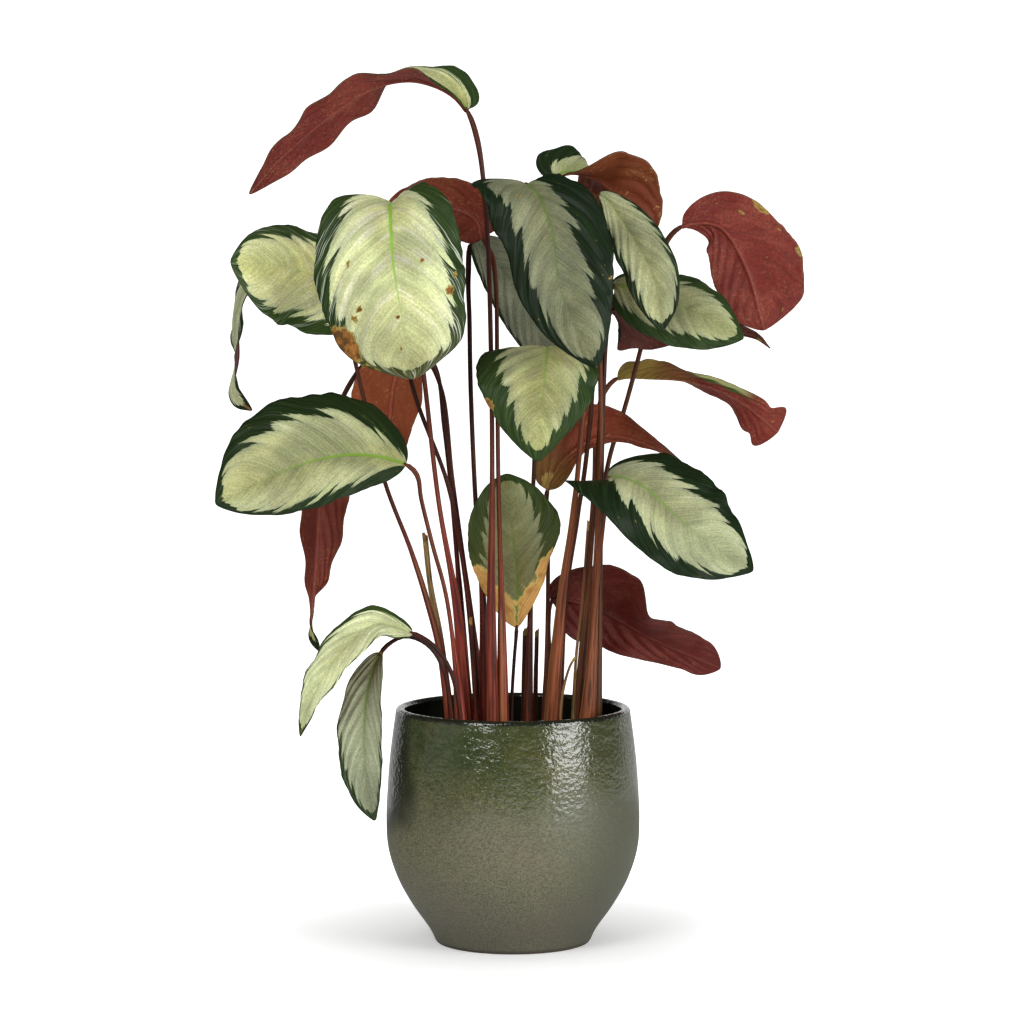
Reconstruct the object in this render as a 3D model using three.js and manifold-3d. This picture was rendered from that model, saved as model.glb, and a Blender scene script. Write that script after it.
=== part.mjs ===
// A silver-leaved prayer plant in its nursery pot, standing in a glazed cover pot.
// Millimetres, +Z up. The origin is the centre of the cover pot's flat foot, and the front
// that the leaves turn to faces -Y. Each leaf is a blade and the stalk that carries it.
import * as THREE from 'three';
import { mergeVertices } from 'three/addons/utils/BufferGeometryUtils.js';
import Module from 'manifold-3d';

// Driving sizes of the cover pot
const POT_HEIGHT = 195;
const POT_FOOT_RADIUS = 64;
const POT_RIM_RADIUS = 97;
const POT_WALL = 7.5;
const POT_FLOOR = 9;
const POT_SIDES = 40;
const POT_RINGS = 11;
const POT_CROWN_HALF_WIDTH = 1.8;
const POT_INSIDE_START = 15;
// Radius and height of the outside, from the foot's edge past the belly to the lip
const POT_OUTLINE = [
  [POT_FOOT_RADIUS + 1, 2], [70, 12], [84, 32], [96, 54], [103.5, 78], [105, 102], [104, 128],
  [102, 154], [99, 178], [POT_RIM_RADIUS, POT_HEIGHT - 3],
];

// Driving sizes of the nursery pot that stands inside it, and of the soil
const NURSERY_TOP_RADIUS = 82;
const NURSERY_FOOT_RADIUS = 57;
const NURSERY_HEIGHT = 148;
const NURSERY_WALL = 1.6;
const NURSERY_LIP = 3;
const NURSERY_LIP_HEIGHT = 12;
const NURSERY_SIDES = 32;
const DRAIN_HOLES = 6;
const DRAIN_RADIUS = 5;
const DRAIN_CIRCLE = 38;
const DRAIN_SIDES = 10;
const SOIL_TOP = 146;
const SOIL_GAP = 0.5;
// Radius of the soil's two upper rings and how far each stands above its edge
const SOIL_RINGS = [[58, 2.8], [30, 4]];
const SOIL_DOME = 4;
const CUT_PAST = 1;

// What every leaf shares
const TOUCH_GAP = 0.3;
const STALK_GAP = 0.8;
const BLADE_THICKNESS = 0.8;
const BLADE_ROWS = 12;
const BLADE_COLUMNS = 8;
const BLADE_END_HALF_WIDTH = 1.6;
const ROW_TRIM = 0.08;
const OUTLINE_POWER = 0.52;
const TIP_TAPER = 0.5;
const TIP_TAPER_POWER = 10;
const LOBE_FADE = 4;
const RIPPLE_START = { left: 1, right: 3 };
const STALK_SIDES = 6;
const STALK_STEP = 44;
const STALK_LEAST_STEPS = 5;
const SHEATH_END = 0.5;
const STALK_FOOT = 132;
const HOLE_CLEARANCE = 1;
const HOLE_SIDES = 8;
const CURVE_STEPS = 160;

// The leaves. A stalk runs from the soil to the blade, and the rib from there to the tip,
// both through points placed by eye. `face` is where the upper side looks, in steps from
// base to tip. Each half has its width at the widest place, the fold that lifts it from the
// rib and the curl that bends it on, in degrees: one value, or a list spread from base to
// tip. Its lobe is how far the margin runs back at the base. Left and right are as seen on
// the upper side with the tip up. `thick` and `thin` are the stalk's radius low and high.
const LEAVES = [
  {
    name: 'leaf_01', // the tallest, arching over to the upper left with its back to the front
    stalk: [
      [-17, -28, 150], [-18, -28, 286], [-17, -24, 385], [-18, -13, 490], [-22, -14, 603],
      [-29, -12, 661],
    ],
    rib: [
      [-38, -8, 686], [-53, -4, 701], [-82, 3, 711], [-115, 8, 705], [-155, 12, 679], [-192, 12, 647],
      [-217, 10, 618],
    ],
    face: [[0.7, -0.4, 0.6], [0.4, 0, 0.9], [-0.2, 0.45, 0.85], [-0.2, 0.5, 0.8], [-0.3, 0.6, 0.6]],
    left: { wide: 27, fold: [25, 10, 0], curl: -15, lobe: 0 },
    right: { wide: [38, 32, 25, 33, 32], fold: [55, 40, 0, 0, 0], curl: -15, lobe: 10 },
    widest: 0.4, wave: 2.5, ripples: 5, thick: 5, thin: 2.2,
  },
  {
    name: 'leaf_02', // the large front leaf, tip down
    stalk: [[-37, -4, 150], [-46, -4, 274], [-61, -10, 365], [-73, -20, 471], [-85, -25, 564]],
    rib: [
      [-97, -30, 608], [-98, -70, 600], [-95, -98, 562], [-89, -108, 525], [-82, -106, 485],
      [-79, -98, 469],
    ],
    face: [[0, -0.6, 0.8], [0, -1, 0.15], [0, -1, 0]],
    left: { wide: [58, 58, 58, 92], fold: [48, 6, 0], curl: [-20, -35, -20], lobe: 14 },
    right: { wide: [66, 66, 68, 92], fold: [25, 5, 0], curl: [-20, -40, -20], lobe: 14 },
    widest: 0.5, wave: 2, ripples: 4, thick: 4.5, thin: 2.2,
  },
  {
    name: 'leaf_03', // behind the large front leaf, pointing left
    stalk: [
      [-27, 11, 150], [-36, 9, 272], [-45, 4, 337], [-55, 2, 383], [-77, -2, 442], [-97, -6, 507],
    ],
    rib: [[-112, 0, 527], [-145, -12, 543], [-188, -25, 560], [-229, -35, 562]],
    face: [[-0.1, -0.75, 0.65], [-0.1, -0.8, 0.6]],
    left: { wide: [56, 54, 82], fold: 5, curl: -20, lobe: 8 },
    right: { wide: [50, 46, 57], fold: 5, curl: -20, lobe: 8 },
    widest: 0.5, wave: 1.5, ripples: 4, thick: 4, thin: 2,
  },
  {
    name: 'leaf_04', // far left, hanging almost edge on
    stalk: [
      [-50, -13, 150], [-59, -12, 238], [-71, -8, 285], [-84, -6, 325], [-105, -4, 380],
      [-123, 0, 451], [-140, 12, 515], [-162, 26, 558],
    ],
    rib: [
      [-185, 32, 566], [-213, 32, 552], [-229, 30, 521], [-229, 28, 484], [-232, 26, 454],
      [-217, 25, 439],
    ],
    face: [[-0.5, -0.5, 0.7], [-0.95, -0.32, 0.05], [-1, -0.1, 0], [-0.9, -0.4, -0.1]],
    left: { wide: [25, 25, 25, 36], fold: 6, curl: -10, lobe: 4 },
    right: { wide: [25, 25, 25, 36], fold: 6, curl: -10, lobe: 4 },
    widest: 0.45, wave: 3, ripples: 3, thick: 4, thin: 2,
  },
  {
    name: 'leaf_05', // left middle, pointing left
    stalk: [[-40, -19, 150], [-54, -22, 285], [-66, -25, 332], [-75, -30, 370], [-78, -36, 389]],
    rib: [[-87, -40, 398], [-130, -58, 407], [-182, -70, 396], [-239, -72, 368]],
    face: [[-0.1, -0.85, 0.5], [-0.1, -0.9, 0.4]],
    left: { wide: 40, fold: 12, curl: -30, lobe: 4 },
    right: { wide: [84, 66, 62], fold: 5, curl: -25, lobe: 14 },
    widest: 0.53, wave: 1.5, ripples: 5, thick: 4, thin: 2,
  },
  {
    name: 'leaf_06', // hanging behind the front leaf, back to the front
    stalk: [[-20, 16, 150], [-35, 16, 272], [-50, 14, 382], [-59, 12, 457], [-72, 9, 484]],
    rib: [[-86, 8, 492], [-97, 17, 468], [-103, 25, 423], [-106, 24, 380]],
    face: [[0.1, 0.95, 0.3], [0.1, 0.95, 0]],
    left: { wide: 34, fold: 10, curl: -20, lobe: 0 },
    right: { wide: [28, 26, 20, 22], fold: 10, curl: -20, lobe: 0 },
    widest: 0.46, wave: 1.5, ripples: 4, thick: 4, thin: 2,
  },
  {
    name: 'leaf_07', // long and narrow, hanging at the left with its back to the front
    stalk: [
      [-36, 26, 150], [-46, 24, 309], [-57, 24, 424], [-66, 34, 478], [-90, 42, 500], [-122, 42, 480],
    ],
    rib: [
      [-146, 36, 441], [-158, 34, 398], [-162, 30, 350], [-164, 26, 312], [-167, 20, 276],
      [-168, 15, 260], [-161, 10, 240],
    ],
    face: [
      [0.3, 0.9, 0.2], [0.3, 0.9, 0], [0.3, 0.9, 0], [0.3, 0.9, 0], [0.3, 0.9, 0], [-0.9, 0.3, 0],
      [-0.3, -0.9, 0.1],
    ],
    left: { wide: [22, 24, 24, 22, 15, 2.4, 22], fold: 32, curl: -10, lobe: 2 },
    right: { wide: [22, 24, 24, 22, 15, 2.4, 22], fold: 25, curl: -10, lobe: 2 },
    widest: 0.42, wave: 2.5, ripples: 5, thick: 4.5, thin: 2,
  },
  {
    name: 'leaf_08', // lower left, arching out over the rim
    stalk: [[-42, -38, 150], [-44, -39, 200], [-52, -42, 232], [-66, -46, 252]],
    rib: [[-82, -47, 261], [-112, -58, 270], [-140, -66, 247], [-162, -70, 212], [-172, -72, 180]],
    face: [[0, -0.6, 0.8], [-0.5, -0.6, 0.6], [-0.8, -0.5, 0.3]],
    left: { wide: 25, fold: 20, curl: -20, lobe: 3 },
    right: { wide: 25, fold: 10, curl: -20, lobe: 3 },
    widest: 0.46, wave: 1.5, ripples: 4, thick: 3.6, thin: 2,
  },
  {
    name: 'leaf_09', // lower left, hanging down beside the pot
    stalk: [
      [-50, -27, 150], [-52, -28, 200], [-58, -31, 232], [-70, -34, 250], [-86, -36, 257],
      [-97, -38, 254],
    ],
    rib: [[-108, -42, 244], [-118, -50, 215], [-121, -54, 172], [-118, -52, 130], [-113, -46, 107]],
    face: [[-0.3, -0.9, 0.4], [-0.2, -1, 0]],
    left: { wide: 18, fold: 25, curl: -10, lobe: 3 },
    right: { wide: 22, fold: 15, curl: -10, lobe: 3 },
    widest: 0.5, wave: 2, ripples: 4, thick: 3.4, thin: 1.8,
  },
  {
    name: 'leaf_10', // behind the top of the front leaf, back to the front
    stalk: [
      [-8, -20, 150], [-9, -20, 260], [-12, -18, 385], [-13, -10, 480], [-14, -5, 540], [-17, 2, 566],
    ],
    rib: [[-25, 12, 582], [-30, 16, 597], [-48, 20, 606], [-80, 22, 604], [-112, 22, 588]],
    face: [[0.3, 0.8, 0.4], [0, 0.85, 0.5]],
    left: { wide: 30, fold: 5, curl: -20, lobe: 6 },
    right: { wide: 36, fold: 5, curl: -20, lobe: 6 },
    widest: 0.42, wave: 1.5, ripples: 4, thick: 4.6, thin: 2,
  },
  {
    name: 'leaf_11', // the large centre leaf, tip down
    stalk: [
      [30, -10, 150], [40, -10, 283], [49, -9, 350], [55, -8, 410], [60, -10, 500], [48, -16, 575],
      [28, -24, 612],
    ],
    rib: [
      [11, -30, 625], [20, -56, 616], [31, -72, 588], [36, -80, 550], [44, -84, 522], [67, -80, 477],
    ],
    face: [[-0.1, -0.6, 0.8], [-0.1, -0.95, 0.3], [0, -1, 0]],
    left: { wide: [40, 46, 50], fold: [15, 5, 0], curl: -20, lobe: 10 },
    right: { wide: [86, 50, 38, 34, 32], fold: [20, 5, 0], curl: [0, -20, -20], lobe: 50 },
    widest: 0.46, wave: 2, ripples: 4, thick: 5, thin: 2.4,
  },
  {
    name: 'leaf_12', // grey leaf behind the centre leaf
    stalk: [
      [-24, 3, 150], [-25, 3, 283], [-31, 8, 367], [-35, 13, 461], [-36, 24, 514], [-37, 34, 553],
    ],
    rib: [[-34, 34, 578], [-13, 25, 560], [10, 18, 524], [32, 14, 478]],
    face: [[0, -0.8, 0.6], [-0.2, -0.9, 0.3]],
    left: { wide: 34, fold: 5, curl: -10, lobe: 0 },
    right: { wide: [24, 22, 26], fold: 5, curl: -10, lobe: 0 },
    widest: 0.5, wave: 1.5, ripples: 4, thick: 4.2, thin: 2.2,
  },
  {
    name: 'leaf_13', // bright leaf at the centre, its base rolled over to the back
    stalk: [[12, -2, 150], [14, 3, 260], [17, 5, 383], [19, 6, 420], [24, 8, 455]],
    rib: [
      [29, -4, 482], [28, -30, 494], [27, -54, 484], [24, -70, 455], [21, -74, 428], [20, -70, 402],
    ],
    face: [[0, 0, 1], [0, -0.8, 0.6], [0, -1, 0.1], [0, -1, 0]],
    left: { wide: [43, 43, 37], fold: 0, curl: -15, lobe: 0 },
    right: { wide: [57, 57, 47], fold: 0, curl: -15, lobe: 0 },
    widest: 0.44, wave: 1.5, ripples: 3, thick: 3.8, thin: 2,
  },
  {
    name: 'leaf_14', // low centre, upright, its lower quarter dried to a golden brown
    stalk: [[-2, -4, 150], [-1, -3, 200], [1, -2, 234]],
    rib: [[3, -3, 261], [3, -5, 306], [-1, -8, 345], [-4, -6, 376], [-5, 4, 388]],
    face: [[0, -1, 0.1], [0, -1, 0.2], [0, -0.5, 0.8]],
    left: { wide: 38, fold: 10, curl: -10, lobe: 0 },
    right: { wide: [20, 28, 42, 39], fold: 10, curl: -10, lobe: 0 },
    widest: 0.55, wave: 1.5, ripples: 3, thick: 2.6, thin: 1.6,
  },
  {
    name: 'leaf_15', // right of the centre, arching right with its back to the front
    stalk: [[26, 16, 150], [29, 18, 282], [29, 20, 335]],
    rib: [[29, 25, 374], [48, 32, 404], [78, 34, 418], [118, 32, 409], [158, 28, 382]],
    face: [[0.3, 0.9, 0.3], [0.2, 0.95, 0.3], [0.2, 0.9, 0.4], [0.3, 0.5, 0.8], [0.3, 0.4, 0.9]],
    left: { wide: [18, 7, 6, 14], fold: 0, curl: -15, lobe: 0 },
    right: { wide: [24, 33, 19, 22], fold: [0, 0, -10], curl: -15, lobe: 0 },
    widest: 0.36, wave: 1.5, ripples: 4, thick: 4, thin: 2,
  },
  {
    name: 'leaf_16', // right, twisted half over on its way out
    stalk: [[52, 30, 150], [62, 30, 300], [68, 46, 380], [70, 54, 430], [76, 58, 452]],
    rib: [[88, 60, 465], [117, 60, 466], [150, 54, 463], [185, 42, 450], [221, 36, 421]],
    face: [[0, 0.8, 0.6], [0, 0.8, 0.6], [0, 0.7, 0.7], [0.3, 0.9, 0.2]],
    left: { wide: [40, 34, 26, 22, 20, 18, 20, 30, 100], fold: [53, 50, 30, 5, 0], curl: 0, lobe: 0 },
    right: { wide: [85, 42, 26, 21, 18, 17, 18, 20, 90], fold: 0, curl: [0, 0, -40, -40, 0, 0], lobe: 0 },
    widest: 0.6, wave: 3, ripples: 3, thick: 4, thin: 2,
  },
  {
    name: 'leaf_17', // right, pointing down to the right
    stalk: [[58, -20, 150], [64, -18, 240], [72, -16, 330], [76, -20, 368]],
    rib: [[78, -25, 386], [103, -42, 382], [143, -58, 348], [194, -60, 313]],
    face: [[0.2, -0.8, 0.55], [0.2, -0.85, 0.5]],
    left: { wide: [58, 50, 43], fold: 5, curl: -20, lobe: 6 },
    right: { wide: [86, 48, 40], fold: [36, 8, 5], curl: [0, -20], lobe: 76 },
    widest: 0.5, wave: 1.2, ripples: 5, thick: 4.4, thin: 2.2,
  },
  {
    name: 'leaf_18', // low at the right, the base half raised and the outer half drooping
    stalk: [[28, 32, 150], [31, 34, 225], [30, 38, 262]],
    rib: [[33, 40, 279], [70, 50, 272], [118, 54, 246], [175, 52, 221]],
    face: [[0, 0.95, 0.3], [0, 0.9, 0.5], [0, 0.9, 0.4]],
    left: { wide: [38, 36, 31, 25, 24, 48], fold: 0, curl: -10, lobe: 0 },
    right: { wide: [44, 45, 47, 45, 44, 62], fold: [10, 5, -2, -36, -26, -12, 0], curl: -10, lobe: 0 },
    widest: 0.4, wave: 2.5, ripples: 3, thick: 3.6, thin: 2,
  },
  {
    name: 'leaf_19', // upper right, broad, back to the front, its base folded open
    stalk: [
      [35, 4, 150], [42, 6, 283], [52, 8, 345], [60, 11, 395], [66, 12, 470], [62, 18, 560],
      [50, 20, 608],
    ],
    rib: [[38, 22, 633], [60, 29, 635], [87, 34, 616], [104, 36, 568]],
    face: [
      [0, -0.1, 1], [0, 0, 1], [0, 0.6, 0.8], [0, 0.95, 0.3], [-0.1, 0.95, 0.2], [-0.1, 0.95, 0.2],
    ],
    left: { wide: [44, 38, 54, 48, 36], fold: [55, 50, 10, 0, 0], curl: -15, lobe: 60 },
    right: { wide: [50, 50, 36, 33], fold: 0, curl: -15, lobe: 60 },
    widest: 0.5, wave: 2, ripples: 4, thick: 4.6, thin: 2.2,
  },
  {
    name: 'leaf_20', // narrow, hanging in front of it
    stalk: [[62, -4, 150], [68, -5, 300], [72, -6, 416], [71, -6, 500], [68, -5, 585]],
    rib: [[70, -8, 617], [94, -30, 587], [113, -46, 549], [121, -50, 507]],
    face: [[-0.5, -0.7, 0.5], [-0.5, -0.85, 0.2]],
    left: { wide: [26, 26, 32], fold: 20, curl: -10, lobe: 0 },
    right: { wide: [21, 21, 26], fold: 20, curl: -10, lobe: 0 },
    widest: 0.58, wave: 1.2, ripples: 4, thick: 4.6, thin: 2.2,
  },
  {
    name: 'leaf_21', // right, pointing right behind the narrow one
    stalk: [[70, 5, 150], [72, 4, 300], [74, 3, 433], [77, 2, 506]],
    rib: [[82, -2, 542], [112, -14, 534], [152, -20, 520], [188, -22, 500]],
    face: [[0.1, -0.8, 0.6], [0.1, -0.85, 0.5]],
    left: { wide: [34, 32, 29], fold: 5, curl: -15, lobe: 6 },
    right: { wide: 38, fold: 5, curl: -15, lobe: 6 },
    widest: 0.5, wave: 1.2, ripples: 4, thick: 4.2, thin: 2.2,
  },
  {
    name: 'leaf_22', // right, in its shade, with a long curling tip
    stalk: [[52, 12, 150], [63, 12, 300], [71, 11, 415], [76, 13, 490]],
    rib: [[82, 20, 522], [123, 28, 517], [166, 32, 508], [200, 31, 502], [214, 30, 491]],
    face: [[0, 0.9, 0.4], [0, 0.6, 0.8]],
    left: { wide: [56, 34, 20, 10, 6], fold: 0, curl: -10, lobe: 0 },
    right: { wide: [30, 30, 26, 18, 8], fold: 0, curl: -10, lobe: 0 },
    widest: 0.36, wave: 1.5, ripples: 4, thick: 4.4, thin: 2.2,
  },
  {
    name: 'leaf_23', // far right, round, back to the front
    stalk: [
      [64, 22, 150], [70, 24, 300], [74, 36, 360], [81, 42, 400], [93, 44, 439], [107, 44, 491],
      [120, 41, 545], [127, 36, 578],
    ],
    rib: [[141, 28, 592], [170, 26, 592], [192, 22, 560], [208, 18, 506]],
    face: [[0, 0.95, 0.3], [0.1, 1, 0.1]],
    left: { wide: [12, 25, 32, 50], fold: 5, curl: -10, lobe: 0 },
    right: { wide: [34, 40, 49, 72], fold: 5, curl: -10, lobe: 0 },
    widest: 0.5, wave: 1.5, ripples: 5, thick: 4.2, thin: 2.2,
  },
];

// Cut, dried and sheathing stalks that carry no blade
const STUBS = [
  {
    name: 'cut_stalk', path: [[-48, 4, 150], [-60, 6, 251], [-68, 8, 292], [-73, 8, 338]],
    thick: 3.4, thin: 2.6,
  },
  {
    name: 'sheath_left', path: [[-29, -14, 150], [-31, -15, 202], [-35, -15, 271]],
    thick: 3.4, thin: 1.6,
  },
  {
    name: 'sheath_back', path: [[9, 9, 150], [9, 10, 205], [10, 11, 259]],
    thick: 4, thin: 2.2,
  },
  {
    name: 'sheath_middle', path: [[19, 24, 150], [19, 24, 205], [20, 24, 257]],
    thick: 3.6, thin: 2,
  },
  {
    name: 'withered_shoot', path: [[40, -20, 150], [40, -19, 202], [47, -18, 231], [52, -18, 239]],
    thick: 2.4, thin: 1.2,
  },
  {
    name: 'dry_strip', path: [[49, -8, 150], [52, -9, 235], [57, -10, 283], [62, -11, 351]],
    thick: 2.2, thin: 1.2,
  },
];

const wasm = await Module();
wasm.setup();

const radians = (degrees) => degrees * Math.PI / 180;
const vector = (place) => new THREE.Vector3(...place);

const FINISH = {
  glaze: { color: 0x4d5140, roughness: 0.3, metalness: 0 },
  plastic: { color: 0x141414, roughness: 0.6, metalness: 0 },
  soil: { color: 0x2b1e16, roughness: 1, metalness: 0 },
  blade: { color: 0xa9bd8a, roughness: 0.5, metalness: 0 },
  stalk: { color: 0x7a3a2b, roughness: 0.5, metalness: 0 },
};

function named(name, geometry, finish) {
  const mesh = new THREE.Mesh(geometry, new THREE.MeshStandardMaterial(FINISH[finish]));
  mesh.name = name;
  return mesh;
}

// A closed solid from shared corners and the triangles between them
function solidFrom(corners, triangles) {
  const geometry = new THREE.BufferGeometry();
  const numbers = corners.flatMap((p) => [p.x, p.y, p.z]);
  geometry.setAttribute('position', new THREE.Float32BufferAttribute(numbers, 3));
  geometry.setIndex(triangles.flat());
  geometry.computeVertexNormals();
  return geometry;
}

// One value, or the value at share u of a list spread evenly from base to tip
function spread(values, u) {
  if (!Array.isArray(values)) return values;
  const place = THREE.MathUtils.clamp(u, 0, 1) * (values.length - 1);
  const at = Math.min(Math.floor(place), values.length - 2);
  const t = THREE.MathUtils.smoothstep(place - at, 0, 1);
  const [a, b] = [values[at], values[at + 1]];
  return Array.isArray(a) ? a.map((value, i) => value + (b[i] - value) * t) : a + (b - a) * t;
}

// The stretch of a curve between two of its points, as places measured along its length
function stretch(curve, from, to) {
  const marks = [{ t: from, length: 0, point: curve.getPoint(from) }];
  for (let i = 1; i <= CURVE_STEPS; i++) {
    const t = from + (to - from) * i / CURVE_STEPS;
    const point = curve.getPoint(t);
    marks.push({ t, point, length: marks[i - 1].length + point.distanceTo(marks[i - 1].point) });
  }
  const total = marks[CURVE_STEPS].length;
  return {
    total,
    at(u) {
      const length = u * total;
      const next = Math.max(1, marks.findIndex((mark) => mark.length >= length - 1e-9));
      const [a, b] = [marks[next - 1], marks[next]];
      const t = a.t + (b.t - a.t) * (length - a.length) / (b.length - a.length);
      return { point: curve.getPoint(t), along: curve.getTangent(t) };
    },
  };
}

// Half the blade's width at share u of its length, where 1 is the widest
function outline(leaf, u) {
  const round = Math.sin(Math.PI * u ** (Math.log(0.5) / Math.log(leaf.widest))) ** OUTLINE_POWER;
  return round * (1 - TIP_TAPER * u ** TIP_TAPER_POWER);
}

// Where the upper side lies: u runs from base to tip, v from the left margin at -1 to the
// right margin at 1. The halves fold up from the rib, curl on, and ripple at the margin.
function bladePlace(leaf, rib, u, v) {
  const { point, along } = rib.at(THREE.MathUtils.clamp(u, 0, 1));
  const up = vector(spread(leaf.face, u));
  up.addScaledVector(along, -up.dot(along)).normalize();
  const across = along.clone().cross(up);
  const side = v < 0 ? leaf.left : leaf.right;
  const wide = Math.max(spread(side.wide, u) * outline(leaf, u), BLADE_END_HALF_WIDTH);
  const fold = radians(spread(side.fold, u));
  const curl = radians(spread(side.curl, u)) || 0.001;
  const reach = Math.abs(v);
  const bend = fold + curl * reach;
  const out = wide * (Math.sin(bend) - Math.sin(fold)) / curl;
  const ripple = Math.sin(2 * Math.PI * leaf.ripples * u + RIPPLE_START[v < 0 ? 'left' : 'right']);
  const rise = wide * (Math.cos(fold) - Math.cos(bend)) / curl
    + leaf.wave * outline(leaf, u) * reach ** 3 * ripple;
  const lobe = side.lobe * outline(leaf, u) * reach ** 2 * (1 - u) ** LOBE_FADE;
  return point.addScaledVector(across, Math.sign(v) * out).addScaledVector(up, rise)
    .addScaledVector(along, -lobe);
}

// The upper side's own normal there, by small steps along and across
function bladeNormal(leaf, rib, u, v) {
  const step = 0.01;
  const along = bladePlace(leaf, rib, Math.min(u + step, 1), v);
  along.sub(bladePlace(leaf, rib, Math.max(u - step, 0), v));
  const across = bladePlace(leaf, rib, u, Math.min(v + step, 1));
  across.sub(bladePlace(leaf, rib, u, Math.max(v - step, -1)));
  return across.cross(along).normalize();
}

// How far along the blade a row lies: the rows are closer together at the base and the tip
function rowShare(row) {
  const ease = (x) => (1 - Math.cos(Math.PI * x)) / 2;
  const first = ease(ROW_TRIM);
  return (ease(ROW_TRIM + (1 - 2 * ROW_TRIM) * row / BLADE_ROWS) - first) / (1 - 2 * first);
}

// A blade: the upper side, the same side again one thickness below, and the thin margin
function blade(leaf, rib) {
  const upper = [];
  const lower = [];
  for (let row = 0; row <= BLADE_ROWS; row++) {
    const u = rowShare(row);
    for (let column = 0; column <= BLADE_COLUMNS; column++) {
      const v = 2 * column / BLADE_COLUMNS - 1;
      const place = bladePlace(leaf, rib, u, v);
      upper.push(place);
      lower.push(place.clone().addScaledVector(bladeNormal(leaf, rib, u, v), -BLADE_THICKNESS));
    }
  }
  const wide = BLADE_COLUMNS + 1;
  const count = upper.length;
  const top = [];
  for (let row = 0; row < BLADE_ROWS; row++) {
    for (let column = 0; column < BLADE_COLUMNS; column++) {
      const a = row * wide + column;
      const [b, c, d] = [a + 1, a + wide, a + wide + 1];
      if (column < BLADE_COLUMNS / 2) top.push([a, b, d], [a, d, c]);
      else top.push([a, b, c], [b, d, c]);
    }
  }
  const under = top.map(([a, b, c]) => [a + count, c + count, b + count]);
  const edge = [];
  for (let column = 0; column < BLADE_COLUMNS; column++) edge.push(column);
  for (let row = 0; row < BLADE_ROWS; row++) edge.push(row * wide + BLADE_COLUMNS);
  for (let column = BLADE_COLUMNS; column > 0; column--) edge.push(BLADE_ROWS * wide + column);
  for (let row = BLADE_ROWS; row > 0; row--) edge.push(row * wide);
  const margin = edge.flatMap((a, i) => {
    const b = edge[(i + 1) % edge.length];
    return [[a, a + count, b], [b, a + count, b + count]];
  });
  return solidFrom([...upper, ...lower], [...top, ...under, ...margin]);
}

// A stalk: thick where it sheathes the next one, then thin, with flat ends
function stalk(run, thick, thin) {
  const steps = Math.max(STALK_LEAST_STEPS, Math.round(run.total / STALK_STEP));
  const last = 1 - STALK_GAP / run.total;
  const corners = [];
  const triangles = [];
  let side = new THREE.Vector3(1, 0, 0);
  for (let ring = 0; ring <= steps; ring++) {
    const u = last * ring / steps;
    const { point, along } = run.at(u);
    side = side.addScaledVector(along, -side.dot(along)).normalize();
    const other = along.clone().cross(side);
    const radius = thin + (thick - thin) * (1 - THREE.MathUtils.smoothstep(u, 0, SHEATH_END));
    for (let i = 0; i < STALK_SIDES; i++) {
      const angle = 2 * Math.PI * i / STALK_SIDES;
      corners.push(point.clone().addScaledVector(side, radius * Math.cos(angle))
        .addScaledVector(other, radius * Math.sin(angle)));
    }
  }
  const top = steps * STALK_SIDES;
  for (let ring = 0; ring < steps; ring++) {
    for (let i = 0; i < STALK_SIDES; i++) {
      const a = ring * STALK_SIDES + i;
      const b = ring * STALK_SIDES + (i + 1) % STALK_SIDES;
      triangles.push([a, b, b + STALK_SIDES], [a, b + STALK_SIDES, a + STALK_SIDES]);
    }
  }
  for (let i = 1; i < STALK_SIDES - 1; i++) {
    triangles.push([0, i + 1, i], [top, top + i, top + i + 1]);
  }
  return solidFrom(corners, triangles);
}

// A leaf's one smooth line, from the foot of its stalk in the soil to the tip of its blade
function leafLine(path) {
  const foot = [path[0][0], path[0][1], STALK_FOOT];
  return new THREE.CatmullRomCurve3([foot, ...path].map(vector));
}

function leafMeshes(leaf) {
  const line = leafLine([...leaf.stalk, ...leaf.rib]);
  const base = (leaf.stalk.length + 1) / (leaf.stalk.length + leaf.rib.length);
  const run = stretch(line, 0, base);
  const rib = stretch(line, base, 1);
  return [
    named(`${leaf.name}_blade`, blade(leaf, rib), 'blade'),
    named(`${leaf.name}_stalk`, stalk(run, leaf.thick, leaf.thin), 'stalk'),
  ];
}

function stubMesh(stub) {
  return named(stub.name, stalk(stretch(leafLine(stub.path), 0, 1), stub.thick, stub.thin), 'stalk');
}

function coverPot() {
  const wall = new THREE.SplineCurve(POT_OUTLINE.map((p) => new THREE.Vector2(...p)));
  const outside = wall.getPoints(POT_RINGS);
  const inside = outside.filter((p) => p.y > POT_INSIDE_START).reverse()
    .map((p) => new THREE.Vector2(p.x - POT_WALL, p.y));
  const crown = POT_RIM_RADIUS - POT_WALL / 2;
  const profile = [
    new THREE.Vector2(0, 0),
    new THREE.Vector2(POT_FOOT_RADIUS, 0),
    ...outside,
    new THREE.Vector2(crown + POT_CROWN_HALF_WIDTH, POT_HEIGHT),
    new THREE.Vector2(crown - POT_CROWN_HALF_WIDTH, POT_HEIGHT),
    ...inside,
    new THREE.Vector2(POT_FOOT_RADIUS - POT_WALL / 2, POT_FLOOR),
    new THREE.Vector2(0, POT_FLOOR),
  ];
  return named('cover_pot', latheSolid(profile, POT_SIDES), 'glaze');
}

// A LatheGeometry turned so that its axis is Z
function latheSolid(profile, sides) {
  return new THREE.LatheGeometry(profile, sides).rotateX(Math.PI / 2);
}

function toManifold(geometry) {
  const bare = geometry.clone();
  bare.deleteAttribute('normal');
  bare.deleteAttribute('uv');
  const merged = mergeVertices(bare, 1e-4);
  return new wasm.Manifold(new wasm.Mesh({
    numProp: 3,
    vertProperties: merged.attributes.position.array,
    triVerts: new Uint32Array(merged.index.array),
  }));
}

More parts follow.
